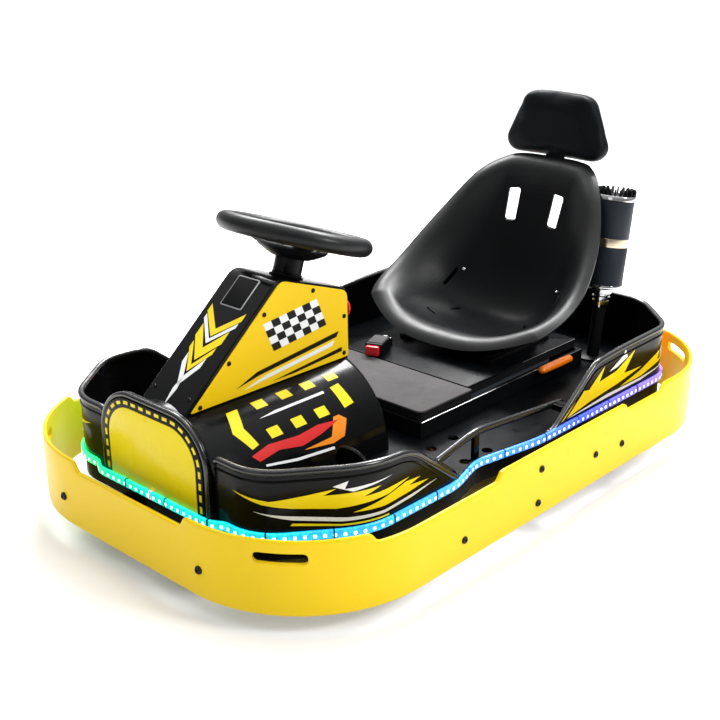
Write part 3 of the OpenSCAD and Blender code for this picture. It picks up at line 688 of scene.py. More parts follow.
def bumper_ring():
    marks = []
    count = int(ring_plan.total / 7)
    for i in range(count):
        marks.append(ring_plan.total * i / count)
    rings = []
    lo = 35
    for s in marks:
        hi = ring_top(s)
        prof = [(-3.6, lo), (-1.6, lo + 0.6), (-0.4, lo + 2.4), (0, lo + 6), (0.9, lo + (hi - lo) * 0.3), (1.2, lo + (hi - lo) * 0.55),
                (0.8, lo + (hi - lo) * 0.8), (0, hi - 5), (-0.5, hi - 2.2), (-1.9, hi - 0.5), (-3.8, hi), (-5.2, hi), (-7.0, hi - 0.8), (-7.8, hi - 2.6), (-8, hi - 6),
                (-8, lo + 6), (-7.6, lo + 2.4), (-6.6, lo + 0.8), (-5.2, lo)]
        rings.append([ring_plan.place(s, z, d) for d, z in prof])
    v, f = loops_to_faces(rings, closed_run=True)
    me = mesh_from("bumper_ring", v, f)
    o = add_object("bumper_ring", me, "chassis", YELLOW, ("bumper",), 35)
    cutters = []
    for cx, cy in ((1, 1), (1, -1), (-1, 1), (-1, -1)):
        a = math.radians(36.5) * cx * cy + (0 if cx > 0 else math.pi)
        u = V((math.cos(a), math.sin(a), 0))
        w = V((-math.sin(a), math.cos(a), 0))
        c = V((cx * 410, cy * 170, 140)) + u * 245
        outline = fillet([(-45, -10), (45, -10), (45, 10), (-45, 10)], 9.9, 6, True)
        rings = [[tuple(c + w * p + V((0, 0, q)) + u * h) for p, q in outline] for h in (0, 40)]
        cutters.append(loops_to_faces(rings))
    cut(o, cutters, "strap_slot")
    o.data.polygons.foreach_set("use_smooth", [True] * len(o.data.polygons))
    o.data.set_sharp_from_angle(angle=math.radians(35))
    spots = []
    for sx in (1, -1):
        for y in (-190, 190):
            spots.append(((sx * 676, y, 88), (sx, 0, 0), 7.5))
    for sy in (1, -1):
        for x, z in ((295, 79), (79, 66), (73, 133), (-109, 98), (-204, 89)):
            spots.append(((x, sy * 436, z), (0, sy, 0), 7.0))
    screw_heads("bumper_bolts", spots, BOLT)


bumper_ring()


# ------------------------------------------------------------------ tub walls with rolled rims
TUB = [(601, 243, 50), (450, 361, 52), (228, 361, 26), (139, 333, 22), (-20, 361, 34), (-484, 361, 36), (-602, 238, 40)]
tub = Outline(TUB)


def edge_curve(pts, rads):
    """Upper edge in (s, z), rounded and with extra points."""
    line = fillet(pts, rads, 8)
    out = []
    for a, b in zip(line[:-1], line[1:]):
        n = max(1, int(math.hypot(b[0] - a[0], b[1] - a[1]) / 12))
        out += [(a[0] + (b[0] - a[0]) * k / n, a[1] + (b[1] - a[1]) * k / n) for k in range(n)]
    out.append(line[-1])
    return out


def wing(name, edge, node, base=130.0, rim=6.4):
    """A wall under an edge curve, with a rolled rim along it and a pressed bead below."""
    s = Soup()
    rings = []
    for q, z in edge:
        z = max(z, base + 1.5)
        h = z - base
        prof = [(0, base), (0.0, base + h * 0.35), (0.0, base + h * 0.72), (0, z), (-5, z), (-5, base + h * 0.72), (-5, base + h * 0.35), (-5, base)]
        rings.append([tub.place(q, zz, d) for d, zz in prof])
    s.add(*loops_to_faces(rings))
    s.add(*tube([tub.place(q, max(z - rim + 0.6, base + rim), -2.5) for q, z in edge], rim, 18), 1)
    # a shallow bead that follows the rim
    inner = [(q, z - 21) for q, z in edge if z - 21 > base + 6]
    s.add(*tube([tub.place(q, z, -0.4) for q, z in inner], 2.4, 8))
    return s.build(name, [GLOSS, RIM], "chassis", "black_gloss", (node,), 40)


T = tub.total
front_edge = edge_curve([(tub.s_front(152), 250), (tub.s_front(160), 254), (tub.s_side(442), 254), (tub.s_side(364), 248), (tub.s_side(336), 238),
                         (tub.s_side(205), 135), (tub.s_side(199), 131)], [0, 6, 60, 20, 26, 8, 0])
wing("front_left_wall", front_edge, "front_left_wing")
wing("front_right_wall", [(T - q, z) for q, z in front_edge][::-1], "front_right_wing")
half_rear = [(tub.s_side(-57), 131), (tub.s_side(-62), 135), (tub.s_side(-157), 202), (tub.s_side(-190), 227), (tub.s_side(-216), 243),
             (tub.s_side(-300), 248), (tub.s_side(-480), 250.5), (T / 2, 248)]
rear_pts = half_rear + [(T - q, z) for q, z in half_rear[:-1]][::-1]
rear_edge = edge_curve(rear_pts, [0, 5, 20, 20, 24, 60, 60, 0, 60, 60, 24, 20, 20, 5, 0])
wing("rear_wall", rear_edge, "rear_cowl")


def side_rail():
    s = Soup()
    for sy in (1, -1):
        path = fillet([(199, 330, 134), (238, 322, 167), (123, 322, 190), (-150, 322, 162)], [0, 9, 30, 0], 9)
        fine = []
        for a, b in zip(path[:-1], path[1:]):
            n = max(1, int((V(b) - V(a)).length / 14))
            fine += [tuple(V(a).lerp(V(b), k / n)) for k in range(n)]
        fine.append(path[-1])
        s.add(*tube([(x, y * sy, z) for x, y, z in fine], 7.6, 18, flat=0.78, up=(0, 1, 0)), 1)
        s.add(*rounded_box((116.5, min(sy * 317.5, sy * 326.5), 130.5), (131.5, max(sy * 317.5, sy * 326.5), 186), 2))
        s.add(*rounded_box((-142, min(sy * 318, sy * 356), 156), (-118, max(sy * 318, sy * 356), 169), 2.5))
        s.add(*lathe([(0.5, 130), (9, 130), (9, 132), (7, 134.5), (0.5, 134.5)], (124, 321 * sy, 0), (0, 0, 1), 24))
        s.add(*lathe([(0.5, 130), (11, 130), (11, 132), (8, 135), (0.5, 135)], (200, 329 * sy, 0), (0, 0, 1), 24))
    return s.build("side_rail_bars", [GLOSS, RIM], "chassis", "black_gloss", ("side_rails",), 40)


side_rail()


# ------------------------------------------------------------------ light strip
def light_strip():
    plan = Outline([(616, 150, 8), (601, 176, 8)] + TUB)
    n = int(plan.total / 6)
    mid = 134.5
    prof = fillet([(0.2, 126.2), (6.6, 126.2), (6.6, 142.8), (0.2, 142.8)], 2.8, 4, True)
    rings = []
    for i in range(n):
        q = plan.total * i / n
        rings.append([plan.place(q, z, d + (0.25 * math.sin(i * 2.1) if d > 4 else 0)) for d, z in prof])
    v, f = loops_to_faces(rings, closed_run=True)
    me = bpy.data.meshes.new("light_strip")
    me.from_pydata([(a * K, b * K, c_ * K) for a, b, c_ in v], [], f)
    at = me.attributes.new("run", "FLOAT", "POINT")
    m = len(prof)
    # the run starts at the nose and goes round the driver's left side
    at.data.foreach_set("value", [(i // m) / n for i in range(len(v))])
    bm = bmesh.new()
    bm.from_mesh(me)
    bmesh.ops.recalc_face_normals(bm, faces=bm.faces)
    bm.to_mesh(me)
    bm.free()
    add_object("light_strip", me, "chassis", LED, ("led_strip",), 50)
    s = Soup()
    k = int(plan.total / 16.5)
    for i in range(k):
        q = plan.total * (i + 0.5) / k
        p, nrm = plan.at(q)
        u = V((-nrm.y, nrm.x, 0))
        nn = V((nrm.x, nrm.y, 0))
        o = V((p.x, p.y, mid - 1.2)) + nn * 6.6
        outline = fillet([(-3.0, -3.1), (3.0, -3.1), (3.0, 3.1), (-3.0, 3.1)], 1.9, 3, True)
        s.add(*prism(outline, lambda a, b, h: tuple(o + u * a + V((0, 0, b)) + nn * h), -0.4, 0.4, 0.3, 1))
    s.build("light_chips", LAMP, "chassis", "led_tube")
    g = Soup()
    ties = int(plan.total / 108)
    for i in range(ties):
        q = plan.total * (i + 0.35) / ties
        g.add(*loops_to_faces([[plan.place(q + e, mid + (z - mid) * 1.05, d + (0.6 if d > 4 else 0)) for d, z in prof] for e in (-1.2, 1.2)]))
    g.build("light_clips", STRIPE_K, "chassis", "black_gloss")


light_strip()


# ------------------------------------------------------------------ nose and its blank plate
def shield(hw, top, r, low=132.0):
    n = 14
    pts = [(-hw, low), (hw, low)]
    for k in range(n + 1):
        a = math.pi / 2 * k / n
        pts.append((hw - r + r * math.cos(a), top - r + r * math.sin(a)))
    for k in range(n + 1):
        a = math.pi / 2 + math.pi / 2 * k / n
        pts.append((-hw + r + r * math.cos(a), top - r + r * math.sin(a)))
    return pts


def on_x(y, z, h):
    return (h, y, z)


def nose():
    s = Soup()
    s.add(*prism(shield(146, 307, 90), on_x, 599, 610, 4.5, 4))
    # raised lip round the plate
    lip = [(v[0], v[1]) for v in shield(142, 303, 86)][2:]
    s.add(*tube([(609.5, 142, 136)] + [(609.5, y, z) for y, z in lip] + [(609.5, -142, 136)], 5.0, 14), 1)
    s.build("nose_shell", [GLOSS, RIM], "chassis", "black_gloss", ("nose_cowl",), 40)
    p = Soup()
    p.add(*prism(shield(136, 298, 80), on_x, 609, 614.5, 1.2, 2), 1)
    p.add(*prism(shield(119, 281, 64, 133), on_x, 614, 615.6, 0.6, 2), 0)
    # dashes in the dark border
    mid = shield(128.5, 290.5, 73)
    line = [mid[1]] + mid[2:] + [mid[0]]
    run = []
    d = 0.0
    for a, b in zip(line[:-1], line[1:]):
        run.append((d, V(a), V(b)))
        d += (V(b) - V(a)).length

    def along(t):
        for d0, a, b in run:
            ln = (b - a).length
            if ln > 1e-6 and t <= d0 + ln:
                u = (b - a).normalized()
                return a + u * (t - d0), u
        return run[-1][2], (run[-1][2] - run[-1][1]).normalized()
    t = 12.0
    while t < d - 14:
        outline = []
        for k in range(5):
            q, u = along(t + 12.5 * k / 4)
            w = V((u.y, -u.x))
            outline.append(tuple(q + w * 3.1))
        for k in range(4, -1, -1):
            q, u = along(t + 12.5 * k / 4)
            w = V((u.y, -u.x))
            outline.append(tuple(q - w * 3.1))
        p.add(*prism(outline, on_x, 614, 615.1, 0.3, 1), 0)
        t += 21.5
    p.build("nose_plate", [PLATE, STRIPE_K], "chassis", "yellow_plastic", ("number_plate",), 40)


nose()


# ------------------------------------------------------------------ tunnel cover
HZ, HR = 128.0, 170.0


def on_hump(x, a, h):
    """a in millimetres round the cover from its top, positive to the left."""
    t = a / HR
    return (x, (HR + h) * math.sin(t), HZ + (HR + h) * math.cos(t))


def hump():
    stations = [(188.0, 160.0), (188.6, 165.5), (190.4, 168.4), (194.0, 169.8), (199.0, 170.0)] + [(199 + (590 - 199) * k / 12, 170.0) for k in range(1, 13)] + [(597, 170.0), (598, 169.0)]
    n = 72
    rings = []
    for x, r in stations:
        a0 = math.acos((130 - HZ) / r)
        ring_ = []
        for i in range(n + 1):
            a = -a0 + 2 * a0 * i / n
            ring_.append((x, r * math.sin(a), HZ + r * math.cos(a)))
        rings.append(ring_)
    v, f = loops_to_faces(rings)
    me = mesh_from("tunnel_cover", v, f)
    o = add_object("tunnel_cover", me, "chassis", GLOSS, ("hump_cover",), 40)
    # clearance hole for the column, inside the console
    t = math.radians(18)
    axis = V((-math.sin(t), 0, math.cos(t)))
    foot = V((286, 0, 424 + 99 * math.tan(t)))
    cut(o, [lathe([(18, -200), (18, -80)], tuple(foot), tuple(axis), 32)], "column_way")
    o.data.polygons.foreach_set("use_smooth", [True] * len(o.data.polygons))
    o.data.set_sharp_from_angle(angle=math.radians(40))


hump()


# ------------------------------------------------------------------ console
TILT = math.radians(18)
CON = [(588, 288), (363, 424 + 176 * math.tan(TILT)), (187, 424), (185, 232), (588, 232)]
CON_MID = 59.5


def on_y(x, z, h):
    return (x, h, z)


def console():
    s = Soup()
    outline = fillet(CON, [10, 20, 15, 0, 0], 6, True)
    s.add(*prism(outline, on_y, -59.5, 59.5, 3.5, 4))
    s.build("console_shell", GLOSS, "chassis", "black_gloss", ("console",), 40)
    p = Soup()
    top_z = 424 + 176 * math.tan(TILT)
    side = [(356, top_z - 4.5), (189.5, 419.5), (187.5, 289.5), (573, 291)]
    side = fillet(side, [14, 14, 8, 5], 6, True)
    p.add(*prism(side, on_y, 59.3, 62.2, 0.9, 2))
    p.add(*prism(side, lambda x, z, h: (x, -h, z), 59.3, 62.2, 0.9, 2))
    p.build("console_sides", PANEL, "chassis", "yellow_plastic", ("console_panels",), 12)
    spots = []
    for x, z in ((279, 441), (399, 425), (199, 372), (200, 299), (484, 358), (552, 297)):
        for sy in (1, -1):
            spots.append(((x, sy * 62.2, z), (0, sy, 0), 4.4))
    u = (V((363, top_z)) - V((588, 288))).normalized()
    nrm = V((-u.y, u.x))
    if nrm.x < 0:
        nrm = -nrm
    for d, y in ((34, 47), (34, -47)):
        q = V((588, 288)) + u * d
        spots.append(((q.x, y, q.y), (nrm.x, 0, nrm.y), 4.0))
    screw_heads("console_screws", spots, BOLT)
    # a blank plate with a bright edge near the top of the front
    b = Soup()
    mid = V((588, 288)) + u * 251
    put = lambda a, c_, h: (mid.x + u.x * a + nrm.x * h, c_, mid.y + u.y * a + nrm.y * h)
    b.add(*prism(fillet([(-33, -28), (33, -28), (33, 28), (-33, 28)], 4, 4, True), put, -0.4, 1.5, 0.5, 2), 0)
    b.add(*prism(fillet([(-30.6, -25.6), (30.6, -25.6), (30.6, 25.6), (-30.6, 25.6)], 3, 4, True), put, 1.0, 1.9, 0.3, 2), 1)
    b.build("blank_badge", [STEEL, GLOSS], "chassis", "steel", angle=38)
    return u, nrm


con_u, con_n = console()


# ------------------------------------------------------------------ steering column, wheel
AXIS = V((-math.sin(TILT), 0, math.cos(TILT)))
FOOT = V((286, 0, 424 + 99 * math.tan(TILT)))
RISE = 80.0


def col(p):
    """Column frame (x back along the console's top, y left, z up the column) to the part's frame."""
    x = V((math.cos(TILT), 0, math.sin(TILT)))
    return tuple(FOOT + x * p[0] + V((0, 1, 0)) * p[1] + AXIS * p[2])


def steering():
    c = Soup()
    c.add(*lathe([(10.3, 0), (31, 0), (32, 0.8), (32, 2.2), (31, 3.0), (28.4, 3.4), (28, 4.4), (28, 7.2), (27.2, 8), (10.3, 8)], FOOT, AXIS, 56))
    c.build("column_boot", SATIN, "chassis", "black_satin", ("column_collar",), 38)
    s = Soup()
    s.add(*lathe([(10.4, 9.2), (26.4, 9.2), (27, 9.8), (26.6, 20), (26.2, 34.4), (25.6, 34.8), (10.4, 34.8)], FOOT, AXIS, 56))
    for a in (-70, 110):
        t = math.radians(a)
        d, e = V((math.cos(t), math.sin(t))), V((-math.sin(t), math.cos(t)))
        sec = fillet([(-3.2, -1), (3.2, -1), (3.2, 1), (-3.2, 1)], 0.9, 2, True)
        s.add(*loops_to_faces([[col(tuple((d * (26.0 + h) + e * q)[:]) + (z,)) for q, h in sec] for z in (9.6, 34.4)]))
    s.build("column_sleeve", SATIN, "steering", "black_satin")
    w = Soup()
    big, r = 128.5, 17.0
    rings = []
    seg = 144
    for i in range(seg):
        t = 2 * math.pi * i / seg
        wave = 0.5 + 0.5 * math.cos(36 * t)
        ring_ = []
        for j in range(22):
            a = 2 * math.pi * j / 22
            # shallow finger scallops on the inside of the rim
            rr = r - 0.9 * wave * max(0.0, -math.cos(a)) ** 2
            ring_.append(col(((big + rr * math.cos(a)) * math.cos(t), (big + rr * math.cos(a)) * math.sin(t), RISE + rr * math.sin(a))))
        rings.append(ring_)
    w.add(*loops_to_faces(rings, closed_run=True), 0)
    # hub, dished below the rim
    w.add(*lathe([(1, 35), (31, 35), (33.6, 36.4), (34.2, 42), (33.6, 50), (30, 56), (20, 58.5), (1, 59)], FOOT, AXIS, 56), 1)
    w.add(*lathe([(29, 35.2), (35, 35.8), (50, 42.6), (62, 49.6), (66.5, 54), (66.8, 56.2), (65.2, 57.6), (60, 55.4), (48, 49), (30, 43)], FOOT, AXIS, 64), 1)
    w.add(*lathe([(1, 57), (17, 57.5), (17.6, 59.6), (15.5, 61.6), (8, 62.6), (1, 62.8)], FOOT, AXIS, 40), 1)
    for a in (180, 300, 60):
        t = math.radians(a)
        d, e = V((math.cos(t), math.sin(t))), V((-math.sin(t), math.cos(t)))
        rings = []
        for k in range(15):
            q = k / 14
            rad = 18 + (121 - 18) * q
            half = 25.0 - 9.0 * soft_step(min(1, q * 2.2)) + 8.0 * soft_step((q - 0.45) / 0.55)
            z = 42 + (RISE - 9 - 42) * soft_step(0.12 + 0.88 * q)
            th = 4.6
            sec = fillet([(-half, -th), (half, -th), (half, th), (-half, th)], 3.6, 3, True)
            rings.append([col(tuple((d * rad + e * p)[:]) + (z + h,)) for p, h in sec])
        w.add(*loops_to_faces(rings), 1)
    w.build("steering_grip", [GRIP, SATIN], "steering", "seat_black", ("steering_wheel",), 45)
    spots = [(col((math.cos(math.radians(a)) * 24, math.sin(math.radians(a)) * 24, 57.4)), tuple(AXIS), 3.2) for a in range(0, 360, 60)]
    screw_heads("hub_screws", spots, BOLT, "steering")


steering()


# ------------------------------------------------------------------ stop button
def stop_button():
    s = Soup()
    o = (185.7, 32, 376)
    s.add(*lathe([(0.5, 0), (15, 0), (15, 3), (11, 4), (11, 12), (0.5, 12)], o, (-1, 0, 0), 36), 1)
    s.add(*lathe([(0.5, 10.5), (17, 10.5), (19, 12), (19.3, 14.5), (18.6, 17.5), (15.5, 19.8), (9, 21), (0.5, 21.3)], o, (-1, 0, 0), 40), 0)
    s.build("stop_knob", [RED, SATIN], "chassis", "red_plastic", ("stop_button",), 38)


stop_button()


# ------------------------------------------------------------------ battery box and lid
def battery():
    plane = lambda u, v, h: (u, v, h)

    def tray(name, x0, x1, hw, r, mat, slot, node):
        s = Soup()
        outline = fillet([(x0, -hw), (x1, -hw), (x1, hw), (x0, hw)], r, 6, True)
        s.add(*prism(outline, plane, 180.4, 185.0, 1.5, 3), 0)
        # ribbed skirt below the top plate
        rings = []
        z = 165.2
        while z < 180.5:
            rings += [(z, 1.2), (z + 0.9, 0.3), (z + 2.1, 0.3), (z + 3.0, 1.2)]
            z += 3.0
        s.add(*loops_to_faces([[(u, v, zz) for u, v in offset_loop(outline, d)] for zz, d in rings]), 1)
        s.build(name, [mat, SATIN], "chassis", slot, (node,), 42)
    tray("lid_cover", -40, 118, 185, [3, 16, 16, 3], MAT_TOP, "mat_grey", "battery_lid")
    tray("seat_plinth", -428, -44, 172, 5, FLOOR, "black_satin", "seat_base")
    t = Soup()
    for sy in (1, -1):
        # thin steel strips along the folded edges of the box and of the plinth, a painted highlight: their bright metal
        # stands in for light caught on the black edges
        t.add(*tube([(119, sy * 189.6, 164.6), (-426, sy * 189.6, 164.6)], 0.9, 8))
        t.add(*tube([(-230, sy * 171.8, 184.4), (-424, sy * 171.8, 184.4)], 0.8, 8))
    t.build("box_trim", STEEL, "chassis", "steel")
    paint("battery_box", SATIN, 2.0)
    paint("battery_pack", CASE, 2.0)


battery()


# ------------------------------------------------------------------ seat
SEAT = [(-136, 240, -150, 142, 252), (-185, 231, -190, 214, 271), (-245, 211, -246, 246, 292), (-315, 203, -312, 247, 318),
        (-385, 220, -372, 236, 367), (-437, 290, -430, 209, 430), (-475, 395, -470, 175, 495), (-507, 500, -503, 142, 531), (-518, 546, -515, 110, 545)]


def spline(rows, u):
    n = len(rows) - 1
    i = min(int(u), n - 1)
    t = u - i
    p, q, r, s = rows[max(i - 1, 0)], rows[i], rows[i + 1], rows[min(i + 2, n)]
    return [0.5 * (2 * q[k] + (r[k] - p[k]) * t + (2 * p[k] - 5 * q[k] + 4 * r[k] - s[k]) * t * t + (3 * q[k] - p[k] - 3 * r[k] + s[k]) * t ** 3) for k in range(len(q))]


LIP, TURN = 30.0, 92.0
SEAT_U0, SEAT_U1 = 0.66, len(SEAT) - 1.52


def seat_bowl(u, v):
    # the front edge bows forwards in the middle
    cx, cz, rx, w, rz = spline(SEAT, u + 0.85 * v ** 4 * max(0.0, 1 - (u - SEAT_U0) / 2.4) ** 2)
    k = abs(v) ** 3
    return V((cx + (rx - cx) * k, (w - 8.0 - LIP) * v, cz + (rz - 9 - cz) * k))


def seat_skin(a, b):
    """A point of the seat's inner face and the way out of its back; past the bowl's edges it rolls outwards and down."""
    u, v = min(max(a, SEAT_U0), SEAT_U1), min(max(b, -1.0), 1.0)
    e0, e1 = a - u, b - v
    m = max(abs(e0), abs(e1))
    p = (seat_bowl(min(u + 0.03, SEAT_U1), v) - seat_bowl(max(u - 0.03, SEAT_U0), v)).normalized()
    q = (seat_bowl(u, min(v + 0.03, 1)) - seat_bowl(u, max(v - 0.03, -1))).normalized()
    n = p.cross(q).normalized()
    if m < 1e-9:
        return seat_bowl(u, v), n
    c = p.dot(q)
    d = ((p - q * c).normalized() * e0 + (q - p * c).normalized() * e1).normalized()
    w = math.radians(m * TURN)
    return seat_bowl(u, v) + d * (LIP * math.sin(w)) + n * (LIP * (1 - math.cos(w))), n * math.cos(w) - d * math.sin(w)


def seat():
    nu, nv, nl = 72, 64, 10
    lip = [(k + 1) / nl for k in range(nl)]
    us = [SEAT_U0 - e for e in reversed(lip)] + [SEAT_U0 + (SEAT_U1 - SEAT_U0) * i / nu for i in range(nu + 1)] + [SEAT_U1 + e for e in lip]
    vs = [-1 - e for e in reversed(lip)] + [2 * j / nv - 1 for j in range(nv + 1)] + [1 + e for e in lip]
    w, rows = len(vs), len(us)
    m = rows * w
    pts = [[seat_skin(u, v)[0] for v in vs] for u in us]

    def rim_cells(i, j, n, k):
        return min(i, n - 1 - i, j, k - 1 - j)
    # the roll and its corners are eased into the bowl
    for _ in range(60):
        eased = [row[:] for row in pts]
        for i in range(rows):
            for j in range(w):
                soft = min(1.0, (nl + 7 - rim_cells(i, j, rows, w)) / 6)
                if soft <= 0:
                    continue
                on_i, on_j = i in (0, rows - 1), j in (0, w - 1)
                around = []
                if on_i or not on_j:
                    around += [pts[i][q] for q in (j - 1, j + 1) if 0 <= q < w]
                if on_j or not on_i:
                    around += [pts[q][j] for q in (i - 1, i + 1) if 0 <= q < rows]
                eased[i][j] = pts[i][j].lerp(sum(around, V((0, 0, 0))) / len(around), 0.5 * soft)
        pts = eased
    back = []
    for i in range(rows):
        for j in range(w):
            p = pts[min(i + 1, rows - 1)][j] - pts[max(i - 1, 0)][j]
            q = pts[i][min(j + 1, w - 1)] - pts[i][max(j - 1, 0)]
            back.append(pts[i][j] + p.cross(q).normalized() * 4.8)
    verts = [p for row in pts for p in row] + back
    faces = []
    for i in range(rows - 1):
        for j in range(w - 1):
            a = i * w + j
            faces.append((a, a + 1, a + w + 1, a + w))
            faces.append((m + a, m + a + w, m + a + w + 1, m + a + 1))
    rim = [j for j in range(w - 1)] + [i * w + w - 1 for i in range(rows - 1)] + [(rows - 1) * w + j for j in range(w - 1, 0, -1)] + [i * w for i in range(rows - 1, 0, -1)]
    for a, b in zip(rim, rim[1:] + rim[:1]):
        faces.append((b, a, a + m, b + m))
    me = mesh_from("seat_bucket", verts, faces)
    o = add_object("seat_bucket", me, "chassis", SEATM, ("seat_shell",), 60)
    for extra in SEAT_EDGE:
        o.data.materials.append(extra)
    cells = [(i, j) for i in range(rows - 1) for j in range(w - 1)]
    for k, poly in enumerate(o.data.polygons):
        i, j = cells[k // 2] if k // 2 < len(cells) else (0, 0)
        poly.material_index = max(0, min(8, nl + 9 - rim_cells(i, j, rows - 1, w - 1)))
    holes, rivets = [], []
    for sy in (1, -1):
        outline = fillet([(-15, -38), (13, -38), (17, 36), (-13, 38)], 7, 4, True)
        rings = []
        t = math.radians(17)
        for h in (-60, 60):
            rings.append([(-478 + h * math.cos(t) - q * math.sin(t), sy * 58 + p * sy, 440 + q * math.cos(t) + h * math.sin(t) * -1) for p, q in outline])
        holes.append(loops_to_faces(rings))
        small = fillet([(-13, -2.6), (13, -2.6), (13, 2.6), (-13, 2.6)], 2.5, 4, True)
        holes.append(loops_to_faces([[(-276 + q, sy * 121 + p, z) for p, q in small] for z in (180, 250)]))
        holes.append(loops_to_faces([[(-336 - 0.9 * p * 0.9 + q * 1.6 * 0.44, sy * (97 - 0.44 * p * 0.9 + q * 1.6), z) for p, q in small] for z in (180, 250)]))
        # belt slot low on each side of the back
        p0, n0 = seat_skin(3.98, sy * 0.74)
        run = V((-37, -sy * 14, 37)).normalized()
        across = n0.cross(run).normalized()
        run = across.cross(n0).normalized()
        belt = fillet([(-27, -4.5), (27, -4.5), (27, 4.5), (-27, 4.5)], 4.4, 4, True)
        holes.append(loops_to_faces([[tuple(p0 + run * p + across * q + n0 * h) for p, q in belt] for h in (-22, 26)]))
        p1, n1 = seat_skin(4.42, sy * 0.69)
        rivets.append((p1, -n1, 4.2))
    cut(o, holes, "seat_hole")
    screw_heads("belt_rivets", rivets, CHROME, "chassis", "chrome")
    o.data.polygons.foreach_set("use_smooth", [True] * len(o.data.polygons))
    o.data.set_sharp_from_angle(angle=math.radians(50))
    return o


seat()


def seat_slides():
    s = Soup()
    for sy in (1, -1):
        a, b = sorted((sy * 100, sy * 128))
        s.add(*rounded_box((-390, a, 185), (-176, b, 192), 2))
        a, b = sorted((sy * 105, sy * 123))
        s.add(*rounded_box((-384, a, 191), (-182, b, 198.5), 2))
        a, b = sorted((sy * 103, sy * 128))
        s.add(*rounded_box((-350, a, 197.5), (-222, b, 206), 2))
        for x in (-376, -190):
            s.add(*lathe([(0.5, 0), (9, 0), (9, 2), (7, 2.4), (7, 8), (6, 9.2), (0.5, 9.2)], (x, sy * 121, 192), (0, 0, 1), 20))
    s.build("seat_slides", PAINT, "chassis", "frame_paint", ("seat_rails",), 38)


seat_slides()

# ------------------------------------------------------------------ headrest
PAD_M = Matrix.Translation((-570, -1.5, 546)) @ Matrix.Rotation(math.radians(-4), 4, "Y")


def headrest():
    base = fillet([(-116, -1), (116, -1), (140, 29), (89, 149), (-89, 149), (-140, 29)], [26, 26, 30, 30, 30, 30], 8, True)
    s = prism(offset_loop(base if area2(base) > 0 else base[::-1], 3.0), lambda u, v, h: tuple(PAD_M @ V((h, u, v))), -20, 23.5, 14, 6)
    me = mesh_from("headrest_cushion", *s)
    o = add_object("headrest_cushion", me, "chassis", LEATHER, ("headrest_pad",), 70)
    rm = o.modifiers.new("remesh", "REMESH")
    rm.mode = "VOXEL"
    rm.voxel_size = 0.0048
    dg = bpy.context.evaluated_depsgraph_get()
    fresh = bpy.data.meshes.new_from_object(o.evaluated_get(dg), depsgraph=dg)
    o.modifiers.clear()
    o.data = fresh
    rest = [v.co.copy() for v in fresh.vertices]
    cl = o.modifiers.new("cloth", "CLOTH")
    cl.settings.quality = 5
    cl.settings.mass = 0.25
    cl.settings.tension_stiffness = 22
    cl.settings.compression_stiffness = 22
    cl.settings.bending_stiffness = 3
    cl.settings.use_pressure = True
    cl.settings.uniform_pressure_force = 4.0
    cl.settings.effector_weights.gravity = 0
    cl.point_cache.frame_start, cl.point_cache.frame_end = 1, 20
    for fr in range(1, 21):
        scene.frame_set(fr)
    dg = bpy.context.evaluated_depsgraph_get()
    done = o.evaluated_get(dg).to_mesh()
    moved_to = [v.co.copy() for v in done.vertices]
    o.evaluated_get(dg).to_mesh_clear()
    o.modifiers.clear()
    scene.frame_set(1)
    for v, a, b in zip(fresh.vertices, rest, moved_to):
        d = b - a
        cap = 0.006
        v.co = a + (d if d.length < cap else d.normalized() * cap)
    bm = bmesh.new()
    bm.from_mesh(fresh)
    for _ in range(6):
        bmesh.ops.smooth_vert(bm, verts=bm.verts, factor=0.5, use_axis_x=True, use_axis_y=True, use_axis_z=True)
    bm.to_mesh(fresh)
    bm.free()
    sub = o.modifiers.new("smooth", "SUBSURF")
    sub.levels = sub.render_levels = 1
    fresh.materials.clear()
    fresh.materials.append(LEATHER)
    fresh.polygons.foreach_set("use_smooth", [True] * len(fresh.polygons))
    st = Soup()
    a, b = V((-532.5, 0, 469)), V((-566, 0, 552))
    path = [tuple(a.lerp(b, k / 10)) for k in range(11)]
    sec = fillet([(-25, -3), (25, -3), (25, 3), (-25, 3)], 2.4, 3, True)
    d = (b - a).normalized()
    nx = V((d.z, 0, -d.x))
    rings = [[tuple(V(p) + V((0, 1, 0)) * u + nx * h) for u, h in sec] for p in path]
    st.add(*loops_to_faces(rings))
    st.build("headrest_bar", PAINT, "chassis", "frame_paint", ("headrest_stem",), 40)
    screw_heads("headrest_screws", [((-536.5, y, 484), (-0.93, 0, -0.37), 5) for y in (-13, 13)], BOLT)


headrest()


